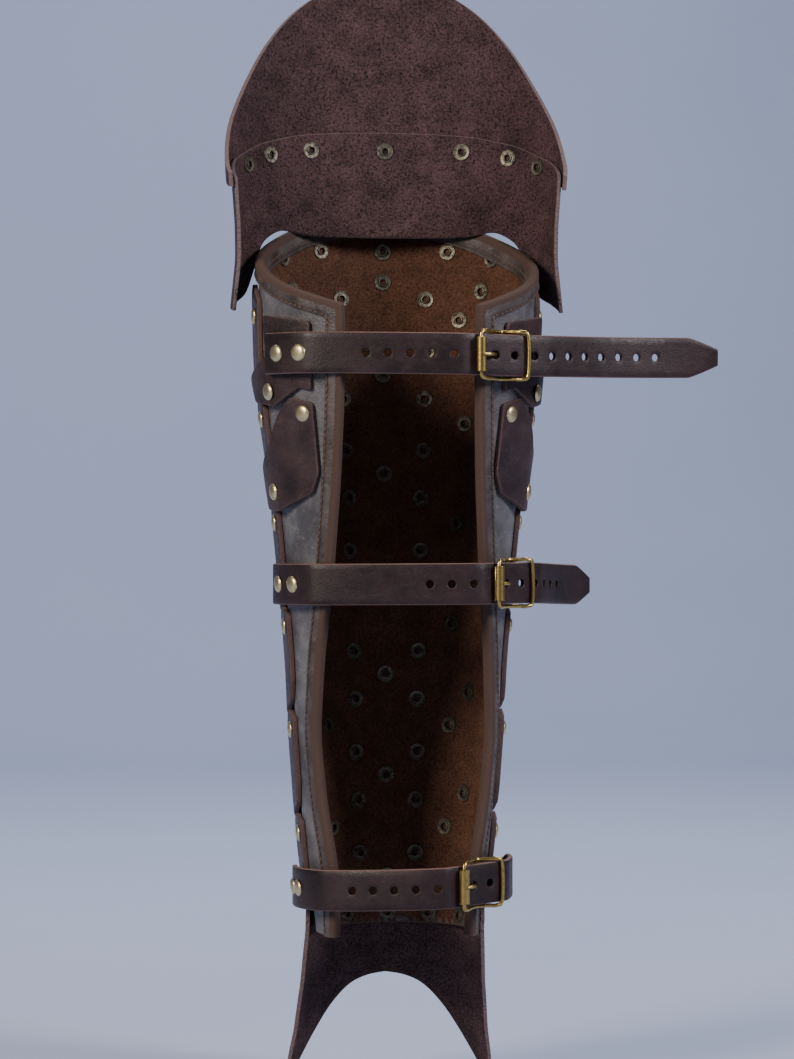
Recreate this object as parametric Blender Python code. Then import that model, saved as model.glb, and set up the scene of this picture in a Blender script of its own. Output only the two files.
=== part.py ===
"""A leather greave with a knee plate, modelled at its real size in metres.

+Z runs up the leg, the shin faces +Y and the open back faces -Y. The origin
is the middle of the leg's hollow at the level of the top strap, which carries
the greave above the calf.
"""

import math
from functools import partial
from typing import NamedTuple

import bmesh
import bpy
import numpy as np

# Leather thicknesses and the gap between pieces that touch
SHELL_WALL = 0.002
PLATE_WALL = 0.003
KNEE_WALL = 0.0025
GUARD_WALL = 0.0025
BINDING_WALL = 0.0012
HANGER_WALL = 0.0025
STRAP_WALL = 0.003
TAB_WALL = 0.0015
GAP = 0.0003
BINDING_GAP = 0.0010

# The shell round the leg, from the top strap's level down to the hem
SHELL_DROP = 0.338
SHELL_HALF_WIDTH = 0.083
SHELL_HALF_DEPTH = 0.076
OPENING_HALF_WIDTH = 0.052
BINDING_WIDTH = 0.0085
TURN_STEP = 12.0
TURN_LAST = 108.0
BACK_STEPS = 3


class ShellRow(NamedTuple):
    """One level of the shell, as shares of the shell's named sizes."""

    drop: float
    width: float
    depth: float
    opening: float


SHELL_ROWS = (
    ShellRow(-0.30, 1.000, 1.000, 0.779),
    ShellRow(0.00, 0.976, 0.961, 0.779),
    ShellRow(0.07, 0.952, 0.947, 0.779),
    ShellRow(0.21, 0.867, 0.895, 0.808),
    ShellRow(0.39, 0.795, 0.842, 0.881),
    ShellRow(0.52, 0.747, 0.803, 0.962),
    ShellRow(0.65, 0.723, 0.776, 1.000),
    ShellRow(0.77, 0.687, 0.737, 0.923),
    ShellRow(0.88, 0.645, 0.697, 0.796),
    ShellRow(1.00, 0.572, 0.658, 0.769),
)

# The rim's height round the leg: the turn in degrees from the shin, and the
# share of the rim's height at the shin
RIM_HEIGHT = 0.092


class RimPoint(NamedTuple):
    """The rim's height at one turn from the shin."""

    turn: float
    rise: float


RIM = (
    RimPoint(0.0, 1.00),
    RimPoint(20.0, 0.98),
    RimPoint(33.0, 0.93),
    RimPoint(50.0, 0.83),
    RimPoint(70.0, 0.72),
    RimPoint(90.0, 0.61),
    RimPoint(120.0, 0.44),
    RimPoint(151.0, 0.30),
)

# The knee lame, which stands inside the shell's front and outside its sides
LAME_HALF_WIDTH = 0.0995
LAME_HALF_DEPTH = 0.0610
LAME_HEIGHT = 0.142
LAME_TURN = 97.0


class LameColumn(NamedTuple):
    """The lame's edges at one share of its turn, as shares of its height."""

    turn: float
    low: float
    high: float


LAME_COLUMNS = (
    LameColumn(0.00, 0.545, 1.000),
    LameColumn(0.16, 0.545, 0.995),
    LameColumn(0.32, 0.548, 0.980),
    LameColumn(0.44, 0.565, 0.955),
    LameColumn(0.54, 0.524, 0.930),
    LameColumn(0.59, 0.475, 0.912),
    LameColumn(0.64, 0.370, 0.895),
    LameColumn(0.69, 0.285, 0.877),
    LameColumn(0.80, 0.245, 0.843),
    LameColumn(0.91, 0.215, 0.800),
    LameColumn(1.00, 0.200, 0.750),
)


class WallRow(NamedTuple):
    """A bent panel's half sizes at one level, as shares of its named sizes."""

    level: float
    width: float
    depth: float


LAME_ROWS = (
    WallRow(0.18, 1.000, 1.000),
    WallRow(0.42, 0.965, 1.000),
    WallRow(0.56, 0.968, 1.000),
    WallRow(0.78, 0.990, 1.020),
    WallRow(1.00, 1.000, 1.040),
)

# The knee plate above the lame, riveted over its upper edge
KNEE_HEIGHT = 0.238
KNEE_TURN = 98.0


class KneeColumn(NamedTuple):
    """The knee plate's edges at one share of its turn."""

    turn: float
    low: float
    high: float


KNEE_COLUMNS = (
    KneeColumn(0.00, 0.500, 1.000),
    KneeColumn(0.13, 0.499, 0.982),
    KneeColumn(0.25, 0.496, 0.945),
    KneeColumn(0.37, 0.490, 0.888),
    KneeColumn(0.49, 0.482, 0.805),
    KneeColumn(0.61, 0.472, 0.705),
    KneeColumn(0.74, 0.458, 0.603),
    KneeColumn(0.87, 0.442, 0.515),
    KneeColumn(1.00, 0.425, 0.460),
)
KNEE_ROWS = (
    WallRow(0.42, 1.000, 1.000),
    WallRow(0.60, 1.005, 1.020),
    WallRow(0.80, 0.985, 1.000),
    WallRow(1.00, 0.950, 0.950),
)

# The strip that hangs the knee plate on the shell, over the first crest plate
HANGER_WIDTH = 0.026
HANGER_TOP = 0.140
HANGER_BOTTOM = 0.060
HANGER_STEPS = 5

# The bands that a bent panel is made of, from its low to its high edge
PANEL_BANDS = 5

# The guard over the foot, outside the shell's hem
GUARD_HALF_WIDTH = 0.0735
GUARD_HALF_DEPTH = 0.0840
GUARD_TURN = 82.0
GUARD_TOP = 0.322
GUARD_HEIGHT = 0.110


class GuardColumn(NamedTuple):
    """The foot guard's edges at one share of its turn, from its top down."""

    turn: float
    low: float
    high: float


GUARD_COLUMNS = (
    GuardColumn(0.00, 0.430, 0.0),
    GuardColumn(0.15, 0.450, 0.0),
    GuardColumn(0.29, 0.500, 0.0),
    GuardColumn(0.43, 0.610, 0.0),
    GuardColumn(0.54, 0.740, 0.0),
    GuardColumn(0.64, 0.900, 0.0),
    GuardColumn(0.72, 1.000, 0.0),
    GuardColumn(0.80, 0.700, 0.0),
    GuardColumn(0.90, 0.350, 0.0),
    GuardColumn(1.00, 0.080, 0.0),
)
GUARD_ROWS = (
    WallRow(0.00, 0.735, 0.640),
    WallRow(0.14, 0.740, 0.650),
    WallRow(0.44, 0.800, 0.745),
    WallRow(0.71, 0.880, 0.860),
    WallRow(0.86, 0.945, 0.930),
    WallRow(1.00, 1.000, 1.000),
)

# The plates: rows one pitch apart, columns named by the turns of their edges
PLATE_PITCH = 0.061
PLATE_HEIGHT = 0.066
PLATE_FIRST_TOP = 0.0375
CREST_FIRST_TOP = 0.080
CREST_HALF_TURN = 24.5
CREST_COUNT = 7
PLATE_HEM = 0.319
LIFT_START = 0.20
LIFT_END = 0.55
PLATE_TURN_LIMIT = 132.0

# An outline is cut in degrees by millimetres, so that both have one scale
OUTLINE_SCALE = 1000.0


class Corner(NamedTuple):
    """An outline's corner: shares across, from the edge nearer the opening,
    and down, from the plate's top."""

    across: float
    down: float


CREST_OUTLINE = (
    Corner(0.00, 0.18),
    Corner(0.55, 0.00),
    Corner(1.00, 0.10),
    Corner(1.00, 0.56),
    Corner(0.45, 0.95),
    Corner(0.00, 1.12),
)
BOOT_OUTLINE = (
    Corner(0.00, 0.06),
    Corner(0.26, 0.00),
    Corner(0.42, 0.14),
    Corner(0.62, 0.40),
    Corner(1.00, 0.62),
    Corner(1.00, 0.76),
    Corner(0.90, 0.98),
    Corner(0.62, 1.00),
    Corner(0.10, 0.84),
    Corner(0.00, 0.66),
)
YOKE_OUTLINE = (
    Corner(0.00, 0.27),
    Corner(0.56, 0.19),
    Corner(0.52, 0.56),
    Corner(1.00, 0.74),
    Corner(0.86, 0.95),
    Corner(0.47, 1.00),
    Corner(0.15, 0.84),
    Corner(0.00, 0.87),
)


class Column(NamedTuple):
    """A column of boot-shaped plates: its edges' turns, how many it has, and
    how far its first plate's two top corners stand above the others'."""

    outer_turn: float
    inner_turn: float
    count: int
    outer_rise: float
    inner_rise: float


COLUMNS = (
    Column(54.0, 12.0, 6, 0.34, 0.44),
    Column(98.0, 45.0, 6, 0.02, 0.12),
    Column(136.5, 90.0, 2, 0.0, 0.0),
)

# The straps and the holes punched along them
STRAP_WIDTH = 0.024
STRAP_TIP_WIDTH = 0.010
STRAP_TIP_LENGTH = 0.018
HOLE_PITCH = 0.0126
HOLE_RADIUS = 0.0023
HOLE_SIDES = 8

# How finely a strap's line is drawn, and where along the tail it turns
WRAP_STEPS = 4
CROSSING_STEPS = 10
TAIL_STEPS = 8
TAIL_STOPS = (0.0, 0.12, 0.30, 1.0)


class StrapPlan(NamedTuple):
    """A strap's route. Turns are degrees from the shin, round the left side."""

    name: str
    level: float
    slope: float
    start_turn: float
    leave_turn: float
    stand_off: float
    buckle_across: float
    buckle_back: float
    buckle_heading: float
    tail_heading: float
    end_heading: float
    tail_length: float
    tail_rise: float
    holes_before: int
    holes_after: int
    tab_turn: float
    tab_stand_off: float


STRAPS = (
    StrapPlan(
        name="top",
        level=0.0008,
        slope=-0.012,
        start_turn=116.0,
        leave_turn=137.0,
        stand_off=0.0072,
        buckle_across=0.0375,
        buckle_back=-0.0750,
        buckle_heading=18.0,
        tail_heading=32.0,
        end_heading=2.0,
        tail_length=0.130,
        tail_rise=0.0010,
        holes_before=6,
        holes_after=10,
        tab_turn=131.0,
        tab_stand_off=0.0066,
    ),
    StrapPlan(
        name="middle",
        level=-0.1315,
        slope=0.006,
        start_turn=96.0,
        leave_turn=130.0,
        stand_off=0.0058,
        buckle_across=0.0488,
        buckle_back=-0.0595,
        buckle_heading=40.0,
        tail_heading=64.0,
        end_heading=52.0,
        tail_length=0.090,
        tail_rise=-0.0030,
        holes_before=4,
        holes_after=6,
        tab_turn=113.0,
        tab_stand_off=0.0022,
    ),
    StrapPlan(
        name="bottom",
        level=-0.3075,
        slope=0.045,
        start_turn=86.0,
        leave_turn=124.0,
        stand_off=0.0070,
        buckle_across=0.0290,
        buckle_back=-0.0580,
        buckle_heading=34.0,
        tail_heading=74.0,
        end_heading=108.0,
        tail_length=0.058,
        tail_rise=0.0,
        holes_before=6,
        holes_after=2,
        tab_turn=107.0,
        tab_stand_off=0.0054,
    ),
)

# The roller buckle, along the strap from the roller and out from its middle
WIRE_RADIUS = 0.0012
BAR_RADIUS = 0.0010
TONGUE_RADIUS = 0.0009
ROLLER_RADIUS = 0.0025
ROLLER_BORE = 0.0017
ROLLER_LENGTH = 0.0240
ROLLER_APPROACH = 3 * ROLLER_RADIUS
BUCKLE_LENGTH = 0.0310
FRAME_BEND = 1.5 * WIRE_RADIUS
BAR_ALONG = 0.0175
TONGUE_HOLE_ALONG = 0.0105
TONGUE_EYE_RADIUS = BAR_RADIUS + TONGUE_RADIUS + GAP
TONGUE_EYE_START = -150.0
TONGUE_EYE_END = 90.0
TONGUE_EYE_STEPS = 8
BAR_DEPTH = STRAP_WALL / 2 + 2 * GAP + TONGUE_EYE_RADIUS + TONGUE_RADIUS
RAIL_HALF_SPAN = STRAP_WIDTH / 2 + GAP + WIRE_RADIUS
WIRE_SIDES = 6
ROLLER_SIDES = 12

# The folded tab that holds the buckle's bar
TAB_HALF_WIDTH = 0.0105
TAB_LANDING_TURN = 14.0
TAB_SLOT_HALF_WIDTH = 0.0016
TAB_CURVE_STEPS = 5
TAB_LANDING_STEPS = 4
TAB_FOLD_STEPS = 6


class Finish(NamedTuple):
    """A material's colour (linear), roughness and metallic value."""

    name: str
    colour: tuple
    roughness: float
    metallic: float


BASE_LEATHER = Finish("base_leather", (0.060, 0.048, 0.042), 0.55, 0.0)
PLATE_LEATHER = Finish("plate_leather", (0.042, 0.028, 0.030), 0.50, 0.0)
KNEE_LEATHER = Finish("knee_leather", (0.100, 0.062, 0.058), 0.90, 0.0)
BINDING_LEATHER = Finish("binding_leather", (0.110, 0.072, 0.055), 0.50, 0.0)
STRAP_LEATHER = Finish("strap_leather", (0.055, 0.032, 0.034), 0.45, 0.0)
ANTIQUE_BRASS = Finish("antique_brass", (0.280, 0.210, 0.095), 0.35, 1.0)


def clear_scene():
    """Remove the scene's objects."""
    for found in list(bpy.data.objects):
        bpy.data.objects.remove(found, do_unlink=True)


def material_of(finish):
    """Return the material for a finish, made once."""
    found = bpy.data.materials.get(finish.name)
    if found:
        return found
    made = bpy.data.materials.new(finish.name)
    made.use_nodes = True
    shader = made.node_tree.nodes["Principled BSDF"]
    shader.inputs["Base Color"].default_value = (*finish.colour, 1.0)
    shader.inputs["Roughness"].default_value = finish.roughness
    shader.inputs["Metallic"].default_value = finish.metallic
    return made


def add_object(name, body, finish, sharp_angle=35.0):
    """Link a finished bmesh to the scene under a node's name."""
    bmesh.ops.recalc_face_normals(body, faces=body.faces)
    mesh = bpy.data.meshes.new(name)
    body.to_mesh(mesh)
    body.free()
    mesh.shade_smooth()
    mesh.set_sharp_from_angle(angle=math.radians(sharp_angle))
    made = bpy.data.objects.new(name, mesh)
    bpy.context.scene.collection.objects.link(made)
    made.data.materials.append(material_of(finish))
    return made


def cut_object(target, cutter, operation="DIFFERENCE"):
    """Cut a target by, or join it with, another closed body."""
    change = target.modifiers.new(cutter.name, "BOOLEAN")
    change.operation = operation
    change.solver = "EXACT"
    change.object = cutter
    cutter.hide_render = True
    cutter.display_type = "WIRE"


def column_of(rows, field):
    """Return one named column of a table as a list."""
    return [getattr(row, field) for row in rows]


def shell_sizes(level):
    """Return the shell's outer half width, half depth and opening at a level."""
    drop = -level / SHELL_DROP
    drops = column_of(SHELL_ROWS, "drop")
    width = np.interp(drop, drops, column_of(SHELL_ROWS, "width"))
    depth = np.interp(drop, drops, column_of(SHELL_ROWS, "depth"))
    opening = np.interp(drop, drops, column_of(SHELL_ROWS, "opening"))
    return (
        SHELL_HALF_WIDTH * width,
        SHELL_HALF_DEPTH * depth,
        OPENING_HALF_WIDTH * opening,
    )


def on_shell(turn, level, stand_off):
    """Return the point at a turn from the shin, a stand-off out of the shell."""
    half_width, half_depth, _ = shell_sizes(level)
    angle = math.radians(turn)
    return (
        (half_width + stand_off) * math.sin(angle),
        (half_depth + stand_off) * math.cos(angle),
        level,
    )


def edge_turn(level):
    """Return the turn at which the shell's opening begins at a level."""
    half_width, _, opening = shell_sizes(level)
    return 180.0 - math.degrees(math.asin(opening / half_width))


def edge_inset_turn(level):
    """Return the turn of the binding's inner line beside the opening."""
    half_width, half_depth, _ = shell_sizes(level)
    radius = (half_width + half_depth) / 2
    return edge_turn(level) - math.degrees(BINDING_WIDTH / radius)


def rim_level(turn):
    """Return the rim's height at a turn from the shin."""
    rise = np.interp(abs(turn), column_of(RIM, "turn"), column_of(RIM, "rise"))
    return RIM_HEIGHT * float(rise)


def half_row(level_at):
    """Return one half row of (turn, level), whose level follows the turn."""
    level = level_at(RIM[-1].turn)
    turns = list(np.arange(0.0, TURN_LAST + TURN_STEP / 2, TURN_STEP))
    turns += list(np.linspace(TURN_LAST, edge_inset_turn(level), BACK_STEPS + 1)[1:])
    turns.append(edge_turn(level))
    return [(turn, level_at(turn)) for turn in turns]


def level_line(level):
    """Return the rule of a row that stays at one level."""
    return lambda turn: level


def shell_grid():
    """Return the shell's (turn, level) grid, from the hem up to the rim."""
    levels = [-SHELL_DROP * row.drop for row in SHELL_ROWS if row.drop >= 0.0]
    rows = [half_row(level_line(level)) for level in reversed(levels)]
    rows.append(half_row(lambda turn: (rim_level(turn) - BINDING_WIDTH) / 2))
    rows.append(half_row(lambda turn: rim_level(turn) - BINDING_WIDTH))
    rows.append(half_row(rim_level))
    return [[(-turn, level) for turn, level in reversed(half[1:])] + half for half in rows]


def wall_body(outer, inner):
    """Return a closed bmesh between two equal grids of points."""
    body = bmesh.new()
    front = [[body.verts.new(point) for point in row] for row in outer]
    back = [[body.verts.new(point) for point in row] for row in inner]
    rows, columns = len(front), len(front[0])
    for i in range(rows - 1):
        for j in range(columns - 1):
            quad = (front[i][j], front[i][j + 1], front[i + 1][j + 1], front[i + 1][j])
            body.faces.new(quad)
            quad = (back[i][j], back[i + 1][j], back[i + 1][j + 1], back[i][j + 1])
            body.faces.new(quad)
    border = [(0, j) for j in range(columns)]
    border += [(i, columns - 1) for i in range(1, rows)]
    border += [(rows - 1, j) for j in range(columns - 2, -1, -1)]
    border += [(i, 0) for i in range(rows - 2, 0, -1)]
    for (i, j), (k, m) in zip(border, border[1:] + border[:1]):
        body.faces.new((front[i][j], back[i][j], back[k][m], front[k][m]))
    return body


def loft_body(rings, closed=False):
    """Return a closed bmesh through equal rings, capped or joined at its ends."""
    body = bmesh.new()
    made = [[body.verts.new(point) for point in ring] for ring in rings]
    sides = len(made[0])
    pairs = list(zip(made, made[1:]))
    if closed:
        pairs.append((made[-1], made[0]))
    for low, high in pairs:
        for j in range(sides):
            k = (j + 1) % sides
            body.faces.new((low[j], low[k], high[k], high[j]))
    if not closed:
        body.faces.new(list(reversed(made[0])))
        body.faces.new(made[-1])
    return body


def build_shell():
    """Build the leather shell that wraps the leg, open at the back."""
    grid = shell_grid()
    outer = [[on_shell(turn, level, 0.0) for turn, level in row] for row in grid]
    inner = [[on_shell(turn, level, -SHELL_WALL) for turn, level in row] for row in grid]
    add_object("shell", wall_body(outer, inner), BASE_LEATHER)


def binding_stations():
    """Return pairs of (edge, inset) grid points along both sides and the rim."""
    grid = shell_grid()
    left = [(row[0], row[1]) for row in grid[:-1]]
    corner_left = [(grid[-1][0], grid[-2][1])]
    rim = [(grid[-1][j], grid[-2][j]) for j in range(2, len(grid[-1]) - 2)]
    corner_right = [(grid[-1][-1], grid[-2][-2])]
    right = [(row[-1], row[-2]) for row in reversed(grid[:-1])]
    return left[:-1] + corner_left + rim + corner_right + right[1:]


def build_binding():
    """Build the strip folded over the shell's back edges and its rim."""
    near = BINDING_GAP
    far = BINDING_GAP + BINDING_WALL
    rings = []
    for edge, inset in binding_stations():
        outside_edge = np.array(on_shell(*edge, 0.0))
        outside_inset = np.array(on_shell(*inset, 0.0))
        away = outside_edge - outside_inset
        away /= np.linalg.norm(away)
        facing = np.array(on_shell(*edge, 1.0)) - outside_edge
        facing[2] = 0.0
        facing /= np.linalg.norm(facing)
        inset_facing = np.array(on_shell(*inset, 1.0)) - outside_inset
        inset_facing[2] = 0.0
        inset_facing /= np.linalg.norm(inset_facing)
        wall = SHELL_WALL
        rings.append(
            [
                outside_inset + inset_facing * near,
                outside_inset + inset_facing * far,
                outside_edge + facing * far,
                outside_edge + away * far + facing * (far - wall) / 2,
                outside_edge + away * far - facing * (far + wall) / 2,
                outside_edge - facing * (wall + far),
                outside_inset - inset_facing * (wall + far),
                outside_inset - inset_facing * (wall + near),
                outside_edge + away * near - facing * (wall + near),
                outside_edge + away * near + facing * near,
            ]
        )
    add_object("edge_binding", loft_body(rings), BINDING_LEATHER)


def panel_body(columns, rows, turn, level_of, sizes_of, wall):
    """Return a bent panel between a low and a high edge, both sides alike."""
    half = list(columns)
    whole = [(-c.turn, c.low, c.high) for c in reversed(half[1:])]
    whole += [(c.turn, c.low, c.high) for c in half]
    outer, inner = [], []
    for band in range(PANEL_BANDS + 1):
        share = band / PANEL_BANDS
        outer_row, inner_row = [], []
        for turn_share, low, high in whole:
            level_share = low + (high - low) * share
            half_width, half_depth = sizes_of(rows, level_share)
            angle = math.radians(turn * turn_share)
            level = level_of(level_share)
            across, back = math.sin(angle), math.cos(angle)
            outer_row.append((half_width * across, half_depth * back, level))
            inner_row.append(((half_width - wall) * across, (half_depth - wall) * back, level))
        outer.append(outer_row)
        inner.append(inner_row)
    return wall_body(outer, inner)


def row_sizes(rows, level_share, half_width, half_depth):
    """Return a panel's half width and half depth at a share of its height."""
    levels = column_of(rows, "level")
    width = np.interp(level_share, levels, column_of(rows, "width"))
    depth = np.interp(level_share, levels, column_of(rows, "depth"))
    return half_width * float(width), half_depth * float(depth)


def lame_sizes(rows, level_share):
    """Return the lame's outer half sizes at a share of its height."""
    return row_sizes(rows, level_share, LAME_HALF_WIDTH, LAME_HALF_DEPTH)


def knee_sizes(rows, level_share):
    """Return the knee plate's outer half sizes, one wall outside the lame."""
    lame_level = KNEE_HEIGHT * level_share / LAME_HEIGHT
    lame_width, lame_depth = lame_sizes(LAME_ROWS, min(lame_level, 1.0))
    stand_off = 2 * GAP + KNEE_WALL
    width_share, depth_share = row_sizes(rows, level_share, 1.0, 1.0)
    return (lame_width + stand_off) * width_share, (lame_depth + stand_off) * depth_share


def guard_sizes(rows, level_share):
    """Return the foot guard's outer half sizes at a share of its height."""
    return row_sizes(rows, level_share, GUARD_HALF_WIDTH, GUARD_HALF_DEPTH)


def lame_level(share):
    """Return the level at a share of the lame's height."""
    return LAME_HEIGHT * share


def knee_level(share):
    """Return the level at a share of the knee plate's height."""
    return KNEE_HEIGHT * share


def guard_level(share):
    """Return the level at a share of the guard's height, from its top."""
    return -GUARD_TOP - GUARD_HEIGHT * share


def build_knee():
    """Build the lame and the knee plate riveted over its upper edge."""
    lame = panel_body(LAME_COLUMNS, LAME_ROWS, LAME_TURN, lame_level, lame_sizes, KNEE_WALL)
    add_object("knee_lame", lame, KNEE_LEATHER)
    plate = panel_body(KNEE_COLUMNS, KNEE_ROWS, KNEE_TURN, knee_level, knee_sizes, KNEE_WALL)
    add_object("knee_plate", plate, KNEE_LEATHER)


def build_guard():
    """Build the guard that spreads over the foot in two points."""
    guard = panel_body(GUARD_COLUMNS, GUARD_ROWS, GUARD_TURN, guard_level, guard_sizes, GUARD_WALL)
    add_object("foot_guard", guard, KNEE_LEATHER)


def build_hanger():
    """Build the strip riveted to the shell's front and to the knee plate."""
    over_plate = PLATE_WALL + 2 * GAP
    low_depth = shell_sizes(HANGER_BOTTOM)[1] + over_plate
    rim_depth = shell_sizes(RIM_HEIGHT)[1] + over_plate
    knee_depth = knee_sizes(KNEE_ROWS, HANGER_TOP / KNEE_HEIGHT)[1] + GAP
    low_knee = KNEE_COLUMNS[0].low * KNEE_HEIGHT
    profile = (
        (HANGER_BOTTOM, low_depth),
        (RIM_HEIGHT + BINDING_WALL, rim_depth),
        (low_knee - KNEE_WALL, knee_depth + GAP),
        (HANGER_TOP, knee_depth + GAP),
    )
    outer, inner = [], []
    shares = np.linspace(-1.0, 1.0, HANGER_STEPS)
    for level, depth in profile:
        outer.append([hanger_point(share, depth + HANGER_WALL, level) for share in shares])
        inner.append([hanger_point(share, depth, level) for share in shares])
    add_object("knee_hanger", wall_body(outer, inner), STRAP_LEATHER)


def hanger_point(share, depth, level):
    """Return a point across the hanger, bent with the plates behind it."""
    across = HANGER_WIDTH / 2 * share
    return (across, depth * math.cos(math.asin(across / SHELL_HALF_WIDTH)), level)


def plate_body(outline, stand_off_at):
    """Return a plate's body from its outline of (turn, level) corners.

    The flat outline is cut at the shell's own turns and levels, so that the
    plate bends where the shell bends, and is then wrapped and thickened.
    """
    body = bmesh.new()
    corners = [body.verts.new((turn, level * OUTLINE_SCALE, 0.0)) for turn, level in outline]
    body.faces.new(corners)
    for turn in np.arange(-PLATE_TURN_LIMIT, PLATE_TURN_LIMIT + TURN_STEP / 2, TURN_STEP):
        bisect(body, (turn, 0.0, 0.0), (1.0, 0.0, 0.0))
    for row in SHELL_ROWS:
        bisect(body, (0.0, -SHELL_DROP * row.drop * OUTLINE_SCALE, 0.0), (0.0, 1.0, 0.0))
    bisect(body, (0.0, -PLATE_HEM * OUTLINE_SCALE, 0.0), (0.0, 1.0, 0.0), clear_below=True)
    outer = {}
    for vert in list(body.verts):
        turn, level = vert.co.x, vert.co.y / OUTLINE_SCALE
        stand_off = stand_off_at(turn)
        vert.co = on_shell(turn, level, stand_off)
        outer[vert] = body.verts.new(on_shell(turn, level, stand_off + PLATE_WALL))
    faces = list(body.faces)
    rims = [edge for edge in body.edges if len(edge.link_faces) == 1]
    for face in faces:
        body.faces.new([outer[vert] for vert in reversed(face.verts)])
    for edge in rims:
        first, second = edge.verts
        body.faces.new((first, second, outer[second], outer[first]))
    bmesh.ops.triangulate(body, faces=body.faces)
    return body


def bisect(body, place, normal, clear_below=False):
    """Cut a flat outline along a line, and drop what lies below it if asked."""
    geometry = list(body.verts) + list(body.edges) + list(body.faces)
    bmesh.ops.bisect_plane(
        body, geom=geometry, dist=0.001, plane_co=place, plane_no=normal, clear_inner=clear_below
    )


def build_crest_plates():
    """Build the middle column of pointed plates down the shin."""
    for row in range(CREST_COUNT):
        top = CREST_FIRST_TOP - PLATE_PITCH * row
        right = [(CREST_HALF_TURN * c.across, top - PLATE_PITCH * c.down) for c in CREST_OUTLINE]
        left = [(-turn, level) for turn, level in reversed(right[1:-1])]
        body = plate_body(right + left, lambda turn: GAP)
        add_object(f"plate_crest_{row + 1}", body, PLATE_LEATHER)


def foot_stand_off(column, turn):
    """Return a plate's stand-off at a turn, which rises towards its foot."""
    share = (column.outer_turn - abs(turn)) / (column.outer_turn - column.inner_turn)
    lift = float(np.interp(share, (LIFT_START, LIFT_END), (0.0, 1.0)))
    return GAP + (PLATE_WALL + 2 * GAP) * lift


def side_outline(column, row, corners):
    """Return one side plate's outline, with its top raised in the first row."""
    rises = (column.outer_rise, column.inner_rise, column.inner_rise / 2) if row == 0 else ()
    top = PLATE_FIRST_TOP - PLATE_PITCH * row
    outline = []
    for place, corner in enumerate(corners):
        rise = rises[place] if place < len(rises) else 0.0
        turn = column.outer_turn - (column.outer_turn - column.inner_turn) * corner.across
        outline.append((turn, top - PLATE_HEIGHT * (corner.down - rise)))
    return outline


def build_side_plates():
    """Build the boot-shaped plates, whose feet lie over the next column.

    The column nearest the opening starts with a yoke-shaped plate.
    """
    for number, column in enumerate(COLUMNS, start=1):
        stand_off_at = partial(foot_stand_off, column)
        for row in range(column.count):
            is_yoke = number == len(COLUMNS) and row == 0
            outline = side_outline(column, row, YOKE_OUTLINE if is_yoke else BOOT_OUTLINE)
            for side, sign in (("left", -1.0), ("right", 1.0)):
                body = plate_body([(turn * sign, level) for turn, level in outline], stand_off_at)
                add_object(f"plate_{side}_{number}_{row + 1}", body, PLATE_LEATHER)


def bezier(start, start_pull, end_pull, end, steps):
    """Return points along a cubic curve between two places in the plan."""
    points = []
    for step in range(1, steps + 1):
        t = step / steps
        u = 1.0 - t
        points.append(
            u**3 * start + 3 * u * u * t * start_pull + 3 * u * t * t * end_pull + t**3 * end
        )
    return points


def heading_vector(degrees):
    """Return the plan direction at a heading, turned from +X towards +Y."""
    angle = math.radians(degrees)
    return np.array((math.cos(angle), math.sin(angle)))


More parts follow.
